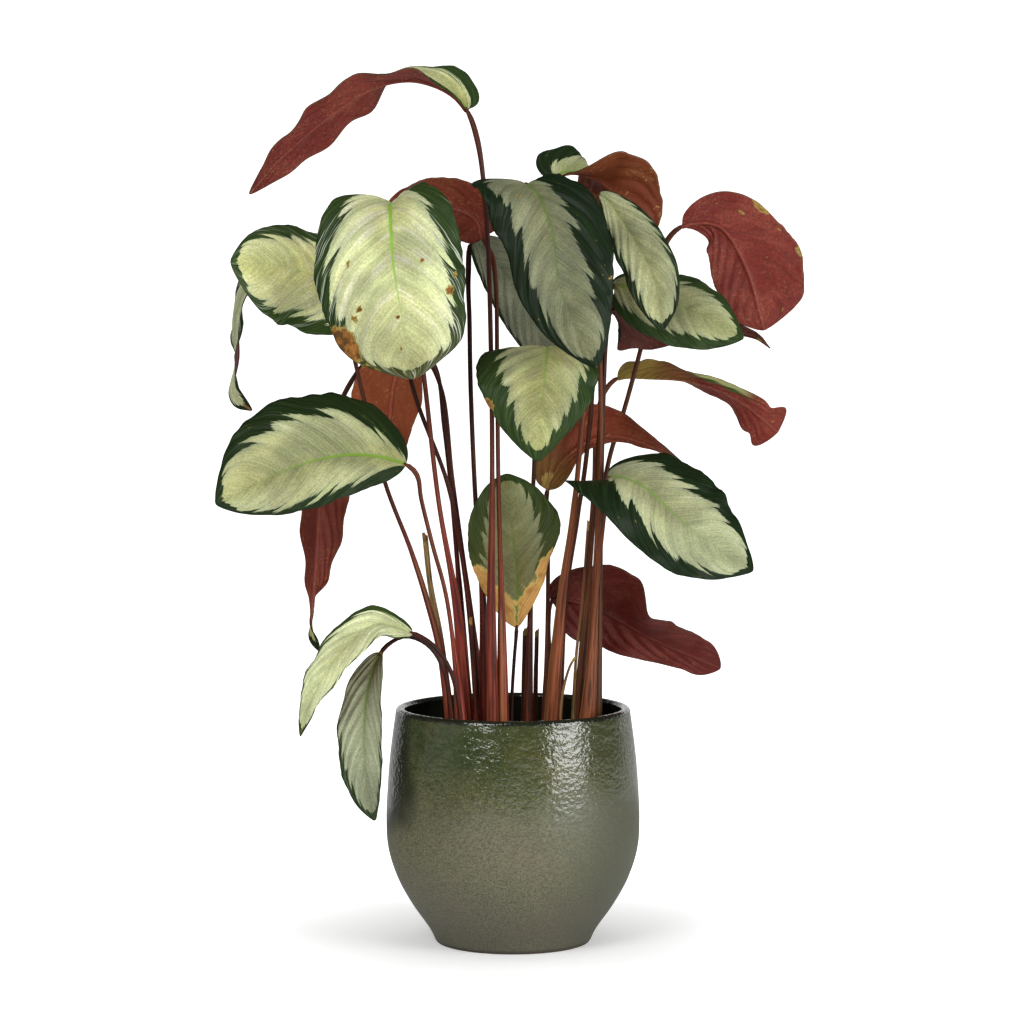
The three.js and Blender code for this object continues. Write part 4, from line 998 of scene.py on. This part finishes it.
def glaze_material(settings):
    """The pot's outside: dimpled green gloss above, speckled satin below."""
    material, wire = new_material("reactive_glaze")
    place = wire.object_place()
    x, y, z = wire.split(place)
    turn = settings.gloss_height
    cloud = wire.noise(place, 11.0, 3.0, 0.55)
    height = (cloud - 0.5) * 0.08 + z
    gloss = height.span(turn - 0.042, turn + 0.038)
    squashed = wire.join(x, y, z * 2.1)
    grain = wire.noise(place, 950.0, 3.0, 0.75)
    weave = wire.noise(wire.join(x, y, z * 2.4), 330.0, 2.0, 0.6)
    peel = wire.noise(wire.join(x, y, z * 1.35), 235.0)
    # Toward the right side the glaze is darkened as painted shade; a patch low on the left of the belly is a
    # painted dark reflection and painted shade
    edge = (cloud - 0.5) * 0.05 + x
    painted_shade_and_reflection = edge.span(-0.076, -0.091) * height.span(0.090, 0.118)
    colour = wire.layers(
        satin_glaze(wire, settings, place, z, weave, grain),
        (gloss, glossy_glaze(wire, settings, squashed, height, cloud, weave, grain)),
        # Darker in the dimples' hollows high on the pot: painted shade
        (peel.span(0.52, 0.40, 0.0, 0.45) * height.span(0.12, 0.17), (0.030, 0.036, 0.014)),
        # Painted shade on the right side, and the painted dark reflection and shade on the left of the belly
        (edge.span(0.02, 0.09, 0.0, 0.75), (0.036, 0.042, 0.016)), (painted_shade_and_reflection * 0.85, (0.012, 0.016, 0.006)),
        (z.span(0.075, 0.0, 0.0, 0.4), (0.056, 0.048, 0.030)),
        (z.span(0.1905, 0.1922), (0.012, 0.014, 0.007)), (z.span(0.004, 0.0015), (0.030, 0.028, 0.018)))
    rough = gloss.span(0.0, 1.0, 0.58, 0.09) + grain.span(0.3, 0.7, 0.0, 0.05)
    dimples = wire.noise(squashed, 55.0, 1.0) * 0.9 + peel
    relief = dimples * height.span(turn - 0.06, turn + 0.02, 0.25, 1.0) + (1.0 - gloss) * (grain * 0.16)
    return finish_material(material, wire, colour, rough, relief, settings.peel_depth, ior=1.7)


def dark_glaze_material():
    """The pot's inside: smooth near-black glaze."""
    material, wire = new_material("dark_glaze")
    cloud = wire.noise(wire.object_place(), 24.0, 3.0)
    colour = wire.mix(cloud.span(0.3, 0.7), (0.006, 0.007, 0.005), (0.016, 0.018, 0.011))
    return finish_material(material, wire, colour, cloud.span(0.3, 0.7, 0.14, 0.26))


def bare_clay_material():
    """The unglazed ring that the pot stands on."""
    material, wire = new_material("bare_clay")
    grain = wire.noise(wire.object_place(), 700.0, 3.0)
    colour = wire.mix(grain, (0.035, 0.026, 0.018), (0.10, 0.075, 0.05))
    return finish_material(material, wire, colour, grain.span(0.3, 0.7, 0.75, 0.95))


def plastic_material():
    """The nursery pot: black, slightly scuffed plastic."""
    material, wire = new_material("black_plastic")
    place = wire.object_place()
    scuff = wire.noise(place, 120.0, 5.0, 0.7)
    dust = wire.noise(place, 18.0, 3.0).span(0.45, 0.8, 0.0, 0.5)
    colour = wire.layers(
        (0.008, 0.008, 0.008), (scuff.span(0.4, 0.7), (0.022, 0.021, 0.020)), (dust, (0.045, 0.038, 0.032)))
    return finish_material(material, wire, colour, scuff.span(0.3, 0.7, 0.38, 0.62))


def soil_material(settings):
    """Moist peat with fibres and a few pale grains."""
    material, wire = new_material("peat")
    place = wire.object_place()
    clumps = wire.noise(place, 95.0, 5.0, 0.7)
    grains = wire.noise(place, 520.0)
    colour = wire.layers(
        settings.colour, (clumps.span(0.35, 0.7), (0.075, 0.045, 0.026)),
        (grains.span(0.68, 0.74), (0.26, 0.21, 0.15)))
    rough = clumps.span(0.3, 0.7, 0.75, 1.0)
    return finish_material(material, wire, colour, rough, clumps + grains * 0.4, 0.0015)


def floor_material():
    """A white studio floor that glows to the camera, and mirrors dark in the pot's left side."""
    material, wire = new_material("studio_floor")
    place = wire.object_place()
    ray = wire.read(wire.node("ShaderNodeLightPath"))
    x, y, _ = wire.split(place)
    left = x.span(-0.10, -0.35) * (x + y).span(0.15, -0.15)
    white = wire.mix(wire.noise(place, 3.0, 1.0), (0.90, 0.90, 0.90), (0.92, 0.92, 0.92))
    colour = wire.mix(left * ray.is_glossy_ray * 0.92, white, (0.02, 0.02, 0.02))
    away = wire.add("ShaderNodeVectorMath", {0: place}, "Value", operation="LENGTH")
    shader = material.node_tree.nodes["Principled BSDF"].inputs
    wire.feed(shader["Emission Color"], (1, 1, 1))
    wire.feed(shader["Emission Strength"], away.span(0.10, 0.46, 0.24, 1.0) * ray.is_camera_ray)
    return finish_material(material, wire, colour, wire.noise(place, 5.0, 1.0).span(0.3, 0.7, 0.8, 0.9))


# Pieces


def dried_share(look, shares, across, distance, length):
    """How far gone each point is, from the leaf's list of dried patches."""
    total = np.zeros(len(shares))
    wide = max(distance.max(), 1)
    for along, side, radius, strength in look.dried:
        off = np.hypot((shares - along), (across - side) * wide / length)
        total = np.maximum(total, strength * (1 - smooth_step(off, radius * 0.45, radius * 1.25)))
    return total


def rolled_share(look, shares, across):
    """Where the edge of one half shows the leaf's other face."""
    side, near, far = look.rolled
    length = smooth_step(shares, near, near + ROLL_FADE) * (1 - smooth_step(shares, far - ROLL_FADE, far))
    return smooth_step(across * side, *ROLL_EDGE) * length


def paint_blade(blade, leaf, look, shares, across, distance):
    """Paints a blade's markings on its points, for the two leaf materials."""
    reach = np.where(across < 0, spread(look.left, shares), spread(look.right, shares))
    paint(blade, "pale_edge", reach - np.abs(across))
    paint(blade, "rib_distance", distance)
    paint(blade, "flush", spread(look.flush, shares))
    paint(blade, "rolled", rolled_share(look, shares, across))
    paint(blade, "dried", dried_share(look, shares, across, distance, leaf_lines(leaf)[1].total))
    for key in ("tone", "grey", "brown", "specks", "green", "golden", "slivers", "rib_show"):
        paint(blade, key, getattr(look, key))


def make_blade(leaf, look, settings, upper, under):
    """A blade with its markings, thin at the margin and thicker along its rib."""
    blade, across, along = new_sheet(leaf.name + "_blade_fine", settings.columns, settings.rows)
    shares = (1 - np.cos(np.pi * (along + 1) / 2)) / 2
    across = np.sign(across) * np.abs(across) ** 1.3
    places, distance = blade_points(leaf, look, shares, across)
    move_points(blade, places)
    map_sheet(blade, (across + 1) / 2, shares)
    paint_blade(blade, leaf, look, shares, across, distance)
    weights = blade.vertex_groups.new(name="rib")
    thick = bell(distance, 0, 1.3) * (1 - 0.75 * shares) * smooth_step(1 - shares, 0, 0.1)
    for index, weight in enumerate(thick):
        weights.add([index], float(weight), "REPLACE")
    for side in (under, upper) if look.turned else (upper, under):
        blade.data.materials.append(side)
    apply_modifier(
        blade, "SOLIDIFY", thickness=settings.rib, offset=-1, material_offset=1, material_offset_rim=0,
        vertex_group="rib", thickness_vertex_group=settings.thickness / settings.rib)
    bpy.ops.object.shade_smooth()
    stand_for(blade, leaf.name + "_blade")


def stalk_places(line, shares, radius, angle, reach):
    """Points round a line at their radius, on a stalk that reaches past its line, and its way."""
    stretch = 1 + reach / line.total
    point, way = line.at(np.minimum(shares * stretch, 1))
    beyond = np.maximum(shares * stretch - 1, 0) * line.total
    side = unit(np.cross(way, np.array([0.13, 1.0, 0.07])))
    round_it = scaled(side, radius * np.cos(angle)) + scaled(np.cross(way, side), radius * np.sin(angle))
    return point + scaled(way, beyond) + round_it, way


def close_stalk(stalk):
    """Joins the sheet's two sides, fills both ends and points the faces outwards."""
    pick(stalk)
    bpy.ops.object.mode_set(mode="EDIT")
    close_mesh(0.00002)
    bpy.ops.mesh.select_all(action="DESELECT")
    bpy.ops.mesh.select_mode(type="EDGE")
    bpy.ops.mesh.select_non_manifold()
    bpy.ops.mesh.edge_face_add()
    bpy.ops.mesh.select_all(action="SELECT")
    bpy.ops.mesh.normals_make_consistent(inside=False)
    bpy.ops.mesh.select_mode(type="VERT")
    bpy.ops.object.mode_set(mode="OBJECT")
    bpy.ops.object.shade_smooth_by_angle(angle=STALK_EDGE)


def make_stalk(name, line, stalk, settings, material, tone, seed, sheath_end, reach, cut=False):
    """A tapering stalk on a line, its sheath wrapped round it low down, closed at both ends."""
    rows = max(24, int(line.total * MM / settings.step))
    piece, around, along = new_sheet(name + "_fine", settings.sides, rows)
    shares = (along + 1) / 2
    angle = np.pi * (around + 1)
    swell = (SWOLLEN.get(stalk.name, 1.0) - 1) * (1 - smooth_step(shares, 0.1, 0.5))
    radius = (stalk.thin + (stalk.thick - stalk.thin) * (1 - smooth_step(shares, 0, 0.5))) * (1 + swell)
    wrap = np.mod(angle + 1.1 * seed, 2 * np.pi) / (2 * np.pi)
    sheath = 1 - smooth_step(shares, sheath_end - 0.03, sheath_end + 0.01)
    radius *= 0.90 + 0.18 * wrap * sheath
    radius *= 1 + 0.025 * np.cos(3 * angle + seed) + 0.012 * np.cos(7 * angle + 2 * seed + 5 * shares)
    tip = smooth_step(shares, 0.985, 1.0)
    if not cut:
        radius *= (1 + 0.22 * bell(shares, 0.955, 0.035)) * (1 - 0.45 * tip)
    places, way = stalk_places(line, shares, radius, angle, reach)
    if cut:
        places += scaled(way, tip * stalk.thin * (np.cos(angle + seed) + 0.3 * np.cos(5 * angle)))
    move_points(piece, places)
    map_sheet(piece, (around + 1) / 2, shares)
    paint(piece, "tone", tone)
    paint(piece, "hem", bell(np.minimum(wrap, 1 - wrap), 0, 0.035) * sheath)
    paint(piece, "dried", 0.7 * cut * smooth_step(shares, 0.93, 1.0))
    close_stalk(piece)
    stand_for(piece, name, material)


def pot_curve(points, steps):
    """A smooth profile through the points, `steps` places between each two."""
    points = np.array(points, float)
    padded = np.vstack([points[0], points, points[-1]])
    out = []
    for i in range(len(points) - 1):
        a, b, c, d = padded[i:i + 4]
        v0, v1 = (c - a) / 2, (d - b) / 2
        for t in np.arange(steps) / steps:
            out.append((2 * b - 2 * c + v0 + v1) * t**3 + (3 * c - 3 * b - 2 * v0 - v1) * t**2 + v0 * t + b)
    return [tuple(p) for p in out] + [tuple(points[-1])]


def cover_pot_profile():
    """The pot's wall in mm, from the middle of its foot up outside, over the lip and down inside."""
    outside = pot_curve(POT_OUTLINE, 6)
    rim, shoulder = POT_OUTLINE[-1]
    half = POT_WALL / 2
    drop = POT_HEIGHT - shoulder
    lip = [(rim - half + half * math.cos(a), shoulder + drop * math.sin(a))
           for a in np.linspace(0, math.pi, 15)[1:-1]]
    inside = [(r - POT_WALL, z) for r, z in reversed(outside) if z > POT_CORNER]
    foot = [(0, 1.2), (POT_FOOT_RADIUS - 9, 1.2), (POT_FOOT_RADIUS - 8, 0), (POT_FOOT_RADIUS - 0.6, 0),
            (POT_FOOT_RADIUS, 0.5), (POT_FOOT_RADIUS + 0.4, FOOT_RING_HEIGHT)]
    corner = [(POT_FOOT_RADIUS + 1.5, 13), (POT_FOOT_RADIUS - 4, POT_FLOOR + 0.6),
              (POT_FOOT_RADIUS - 9, POT_FLOOR), (0, POT_FLOOR)]
    return foot + outside + lip + inside + corner


def make_cover_pot(settings):
    """The pot, glazed outside, dark inside up to the lip, and bare under its foot."""
    pot = turned("glazed_cover_pot", cover_pot_profile(), settings.sides)
    stand_for(pot, "cover_pot", glaze_material(settings), dark_glaze_material(), bare_clay_material())
    for face in pot.data.polygons:
        radius = math.hypot(face.center.x, face.center.y)
        inward = face.center.x * face.normal.x + face.center.y * face.normal.y < 0
        inside = inward or radius < INNER_FLOOR_RADIUS * MM
        if face.center.z < FOOT_RING_HEIGHT * MM:
            face.material_index = 2
        elif inside and face.center.z < POT_OUTLINE[-1][1] * MM:
            face.material_index = 1


def nursery_radius(z):
    """The nursery pot's outside at a height, in mm."""
    widening = (NURSERY_TOP_RADIUS - NURSERY_FOOT_RADIUS) / (NURSERY_RIM - NURSERY_FLOOR)
    return NURSERY_FOOT_RADIUS + widening * (z - NURSERY_FLOOR)


def nursery_profile():
    """The nursery pot's wall in mm, from the middle of its floor up outside and down inside."""
    low, high, wall = NURSERY_FLOOR, NURSERY_RIM, NURSERY_WALL
    shoulder = nursery_radius(high - 12)
    heights = np.linspace(low + 12, high - 13, 12)
    return [
        (0, low + 1.4), (30, low + 1.4), (32, low), (NURSERY_FOOT_RADIUS - 1, low),
        (NURSERY_FOOT_RADIUS, low + 1),
        *((nursery_radius(z), z) for z in heights),
        (shoulder + 2.6, high - 12), (shoulder + 3, high - 11), (84.6, high - 2), (84.2, high - 0.5),
        (83.4, high), (82, high), (81, high - 0.5), (nursery_radius(high - 2) - wall, high - 2),
        *((nursery_radius(z) - wall, z) for z in reversed(heights)),
        (nursery_radius(low + 4) - wall, low + 4), (NURSERY_FOOT_RADIUS - 3.5, low + wall),
        (0, low + wall + 1.4),
    ]


def make_nursery_pot():
    """The nursery pot, with its drain holes cut through the floor."""
    pot = turned("black_nursery_pot", nursery_profile(), 96)
    for index in range(DRAIN_HOLES):
        angle = 2 * math.pi * index / DRAIN_HOLES
        x, y = DRAIN_CIRCLE * math.cos(angle), DRAIN_CIRCLE * math.sin(angle)
        place = Vector((x, y, NURSERY_FLOOR + 1)) * MM
        clear_selection()
        bpy.ops.mesh.primitive_cylinder_add(
            vertices=24, radius=DRAIN_RADIUS * MM, depth=9 * MM, location=place)
        cutter = bpy.context.object
        apply_modifier(pot, "BOOLEAN", operation="DIFFERENCE", object=cutter)
        pick(cutter)
        bpy.ops.object.delete()
    stand_for(pot, "nursery_pot", plastic_material())


def soil_radius(z):
    """The soil's outside at a height, just within the nursery pot, in mm."""
    return nursery_radius(z) - NURSERY_WALL - SOIL_GAP


def crown_height(radius, edge):
    """How high the soil lies at a radius, in mm."""
    return SOIL_TOP + SOIL_CROWN * (1 - (radius / edge) ** 2)


def make_soil_body(edge):
    """The soil without its crumbs, with a rough crown."""
    low = NURSERY_FLOOR + NURSERY_WALL + 2
    profile = [(0, low), (nursery_radius(low) - 5, low)]
    profile += [(soil_radius(z), z) for z in np.linspace(low + 6, SOIL_TOP - 4, 8)]
    profile += [(edge - 0.6, SOIL_TOP - 1.5)]
    profile += [(radius, crown_height(radius, edge)) for radius in np.linspace(edge - 2, 0, 44)]
    soil = turned("potting_soil_fine", profile, 132)
    for vertex in soil.data.vertices:
        if vertex.co.z > (SOIL_TOP - 1) * MM:
            place = Vector((vertex.co.x * 130, vertex.co.y * 130, 2.0))
            vertex.co.z += (0.9 * noise.fractal(place, 0.8, 2.1, 4) - 1.2) * MM
    return soil


def make_crumb(x, y, height, size, random):
    """One crumb of soil, knocked out of shape and turned any way."""
    clear_selection()
    bpy.ops.mesh.primitive_ico_sphere_add(
        subdivisions=1, radius=size * MM, location=(x * MM, y * MM, height * MM))
    crumb = bpy.context.object
    for vertex in crumb.data.vertices:
        vertex.co *= 0.65 + 0.6 * random.random()
    crumb.scale.z = 0.7
    crumb.rotation_euler = tuple(random.random(3) * 6)
    return crumb


def make_soil(settings, feet):
    """The soil inside the nursery pot, with crumbs lying on it beside the stalks' feet."""
    edge = soil_radius(SOIL_TOP)
    soil = make_soil_body(edge)
    crumbs = []
    random = np.random.default_rng(11)
    while len(crumbs) < settings.crumbs:
        radius = edge * math.sqrt(random.random()) * 0.96
        angle = 2 * math.pi * random.random()
        x, y = radius * math.cos(angle), radius * math.sin(angle)
        size = 0.7 + 1.5 * random.random() ** 2
        if min(math.hypot(x - f[0], y - f[1]) - f[2] for f in feet) >= size + 0.6:
            crumbs.append(make_crumb(x, y, crown_height(radius, edge) - 1.0, size, random))
    pick(soil)
    for crumb in crumbs:
        crumb.select_set(True)
    bpy.ops.object.join()
    stand_for(soil, "potting_soil", soil_material(settings))


def area_light(name, place, target, size, power):
    clear_selection()
    bpy.ops.object.light_add(type="AREA", location=place)
    light = bpy.context.object
    light.name = name
    light.rotation_euler = (Vector(target) - Vector(place)).to_track_quat("-Z", "Y").to_euler()
    light.data.shape = "RECTANGLE"
    light.data.size, light.data.size_y = size
    light.data.energy = power
    return light


def make_floor():
    clear_selection()
    bpy.ops.mesh.primitive_plane_add(size=40, location=(0, 0, -0.0002))
    floor = bpy.context.object
    floor.name = "studio_floor"
    floor.data.materials.append(floor_material())


def make_room(settings):
    """A white room, which the glaze mirrors dark, with a pale backdrop and a wall at the left."""
    world = bpy.data.worlds.new("white_room")
    bpy.context.scene.world = world
    world.use_nodes = True
    wire = Wiring(world.node_tree)
    ray = wire.read(wire.node("ShaderNodeLightPath"))
    east, north, up = wire.split(wire.object_place())
    low = up.span(0.45, 0.15)
    behind = wire.math("MINIMUM", east, 0.0) * 0.2 + north
    wall = east.span(-0.72, -0.9) * north.span(0.34, 0.24, 0.0, 0.42)
    mirrored = wire.math("MAXIMUM", behind.span(0.54, 0.68) * low, wall * low) + 0.04
    strength = (1.0 - ray.is_glossy_ray) * settings.room + mirrored * ray.is_glossy_ray + ray.is_camera_ray
    background = world.node_tree.nodes["Background"].inputs
    wire.feed(background["Color"], (1, 1, 1))
    wire.feed(background["Strength"], strength)


def make_lights(settings):
    area_light("window_left", (-1.0, -1.8, 1.45), (0, 0, 0.35), (1.05, 1.15), settings.key)
    area_light("window_right", (1.7, -1.25, 0.74), (0, 0, 0.3), (1.2, 0.95), settings.fill)
    above = area_light("light_above", (0.1, 0.1, 2.3), (0, 0, 0.3), (2.0, 2.0), settings.top)
    above.visible_glossy = False


def make_camera(settings):
    bpy.ops.object.camera_add(location=settings.camera, rotation=(math.pi / 2 - settings.tilt, 0, 0))
    camera = bpy.context.object
    camera.name = "photo_view"
    camera.data.lens = settings.lens
    camera.data.sensor_width = 36
    camera.data.clip_end = 100
    bpy.context.scene.camera = camera


# Operators


class PLANT_OT_leaf_blades(bpy.types.Operator):
    """Shape every leaf blade, with its pleats, rib, markings and dried patches"""

    bl_idname = "plant.leaf_blades"
    bl_label = "Leaf blades"

    def execute(self, context):
        settings = context.scene.plant_leaf
        groups = vein_group(), dried_group()
        upper, under = face_material(settings, *groups), back_material(settings, *groups)
        for leaf in LEAVES:
            make_blade(leaf, LOOKS[leaf.name], settings, upper, under)
        return {"FINISHED"}


class PLANT_OT_leaf_stalks(bpy.types.Operator):
    """Shape the stalk of every leaf, from the soil to its blade"""

    bl_idname = "plant.leaf_stalks"
    bl_label = "Leaf stalks"

    def execute(self, context):
        settings = context.scene.plant_stalk
        dried = bpy.data.node_groups["dried_patch"]
        material = stalk_material("leaf_stalk", settings.low, settings.high, dried)
        for leaf, tone in zip(LEAVES, STALK_SHADES_AND_TONES):
            seed = float(leaf.name[-2:])
            make_stalk(leaf.name + "_stalk", leaf_lines(leaf)[0], leaf, settings, material, tone, seed,
                       sheath_end=0.3 + 0.25 * ((seed * 0.61) % 1), reach=2.0)
        return {"FINISHED"}


class PLANT_OT_bare_stalks(bpy.types.Operator):
    """Shape the cut, dried and short sheathing stalks that carry no blade"""

    bl_idname = "plant.bare_stalks"
    bl_label = "Bare stalks"

    def execute(self, context):
        settings = context.scene.plant_stalk
        dried = bpy.data.node_groups["dried_patch"]
        red = stalk_material("sheath_stalk", settings.low, settings.high, dried)
        straw = stalk_material("straw_stalk", (0.46, 0.30, 0.12), (0.40, 0.27, 0.10), dried)
        for index, stub in enumerate(STUBS):
            line = LeafLine(((*stub.path[0][:2], STALK_FOOT), *stub.path))
            material = straw if stub.name in DRY_STUBS else red
            make_stalk(stub.name, line, stub, settings, material, BARE_STALK_TONE, index + 0.5,
                       sheath_end=0.8, reach=-1.5, cut=True)
        return {"FINISHED"}


class PLANT_OT_cover_pot(bpy.types.Operator):
    """Turn the cover pot and give it its glazes"""

    bl_idname = "plant.cover_pot"
    bl_label = "Cover pot"

    def execute(self, context):
        make_cover_pot(context.scene.plant_pot)
        return {"FINISHED"}


class PLANT_OT_nursery_pot(bpy.types.Operator):
    """Turn the plastic nursery pot"""

    bl_idname = "plant.nursery_pot"
    bl_label = "Nursery pot"

    def execute(self, context):
        make_nursery_pot()
        return {"FINISHED"}


class PLANT_OT_soil(bpy.types.Operator):
    """Fill the nursery pot with soil and scatter crumbs on it"""

    bl_idname = "plant.soil"
    bl_label = "Soil"

    def execute(self, context):
        feet = [(*leaf.stalk[0][:2], leaf.thick) for leaf in LEAVES]
        feet += [(*stub.path[0][:2], stub.thick) for stub in STUBS]
        make_soil(context.scene.plant_soil, feet)
        return {"FINISHED"}


class PLANT_OT_stage(bpy.types.Operator):
    """Set the floor, the room, the lights and the camera"""

    bl_idname = "plant.stage"
    bl_label = "Stage"

    def execute(self, context):
        settings = context.scene.plant_stage
        make_floor()
        make_room(settings)
        make_lights(settings)
        make_camera(settings)
        context.scene.view_settings.view_transform = "Standard"
        context.scene.cycles.use_denoising = True
        return {"FINISHED"}


PIECES = ("leaf_blades", "leaf_stalks", "bare_stalks", "cover_pot", "nursery_pot", "soil", "stage")


class PLANT_PT_sidebar(bpy.types.Panel):
    """Lists the pieces and what can be changed about them"""

    bl_idname = "PLANT_PT_sidebar"
    bl_label = "Potted prayer plant"
    bl_space_type = "VIEW_3D"
    bl_region_type = "UI"
    bl_category = "Plant"

    def draw(self, context):
        for piece in PIECES:
            self.layout.operator("plant." + piece)
        for group in SETTINGS:
            box = self.layout.box()
            box.label(text=group.replace("_", " ").capitalize())
            settings = getattr(context.scene, group)
            for key in settings.bl_rna.properties.keys():
                if key not in ("rna_type", "name"):
                    box.prop(settings, key)


SETTINGS = {
    "plant_leaf": PlantLeafSettings,
    "plant_stalk": PlantStalkSettings,
    "plant_pot": PlantPotSettings,
    "plant_soil": PlantSoilSettings,
    "plant_stage": PlantStageSettings,
}
CLASSES = (
    *SETTINGS.values(), PLANT_OT_leaf_blades, PLANT_OT_leaf_stalks, PLANT_OT_bare_stalks, PLANT_OT_cover_pot,
    PLANT_OT_nursery_pot, PLANT_OT_soil, PLANT_OT_stage, PLANT_PT_sidebar)


def register():
    for kind in CLASSES:
        bpy.utils.register_class(kind)
    for name, kind in SETTINGS.items():
        setattr(bpy.types.Scene, name, PointerProperty(type=kind))


def unregister():
    for name in SETTINGS:
        delattr(bpy.types.Scene, name)
    for kind in reversed(CLASSES):
        bpy.utils.unregister_class(kind)


def main():
    register()
    for piece in PIECES:
        getattr(bpy.ops.plant, piece)()
    clear_selection()


if __name__ == "__main__":
    main()
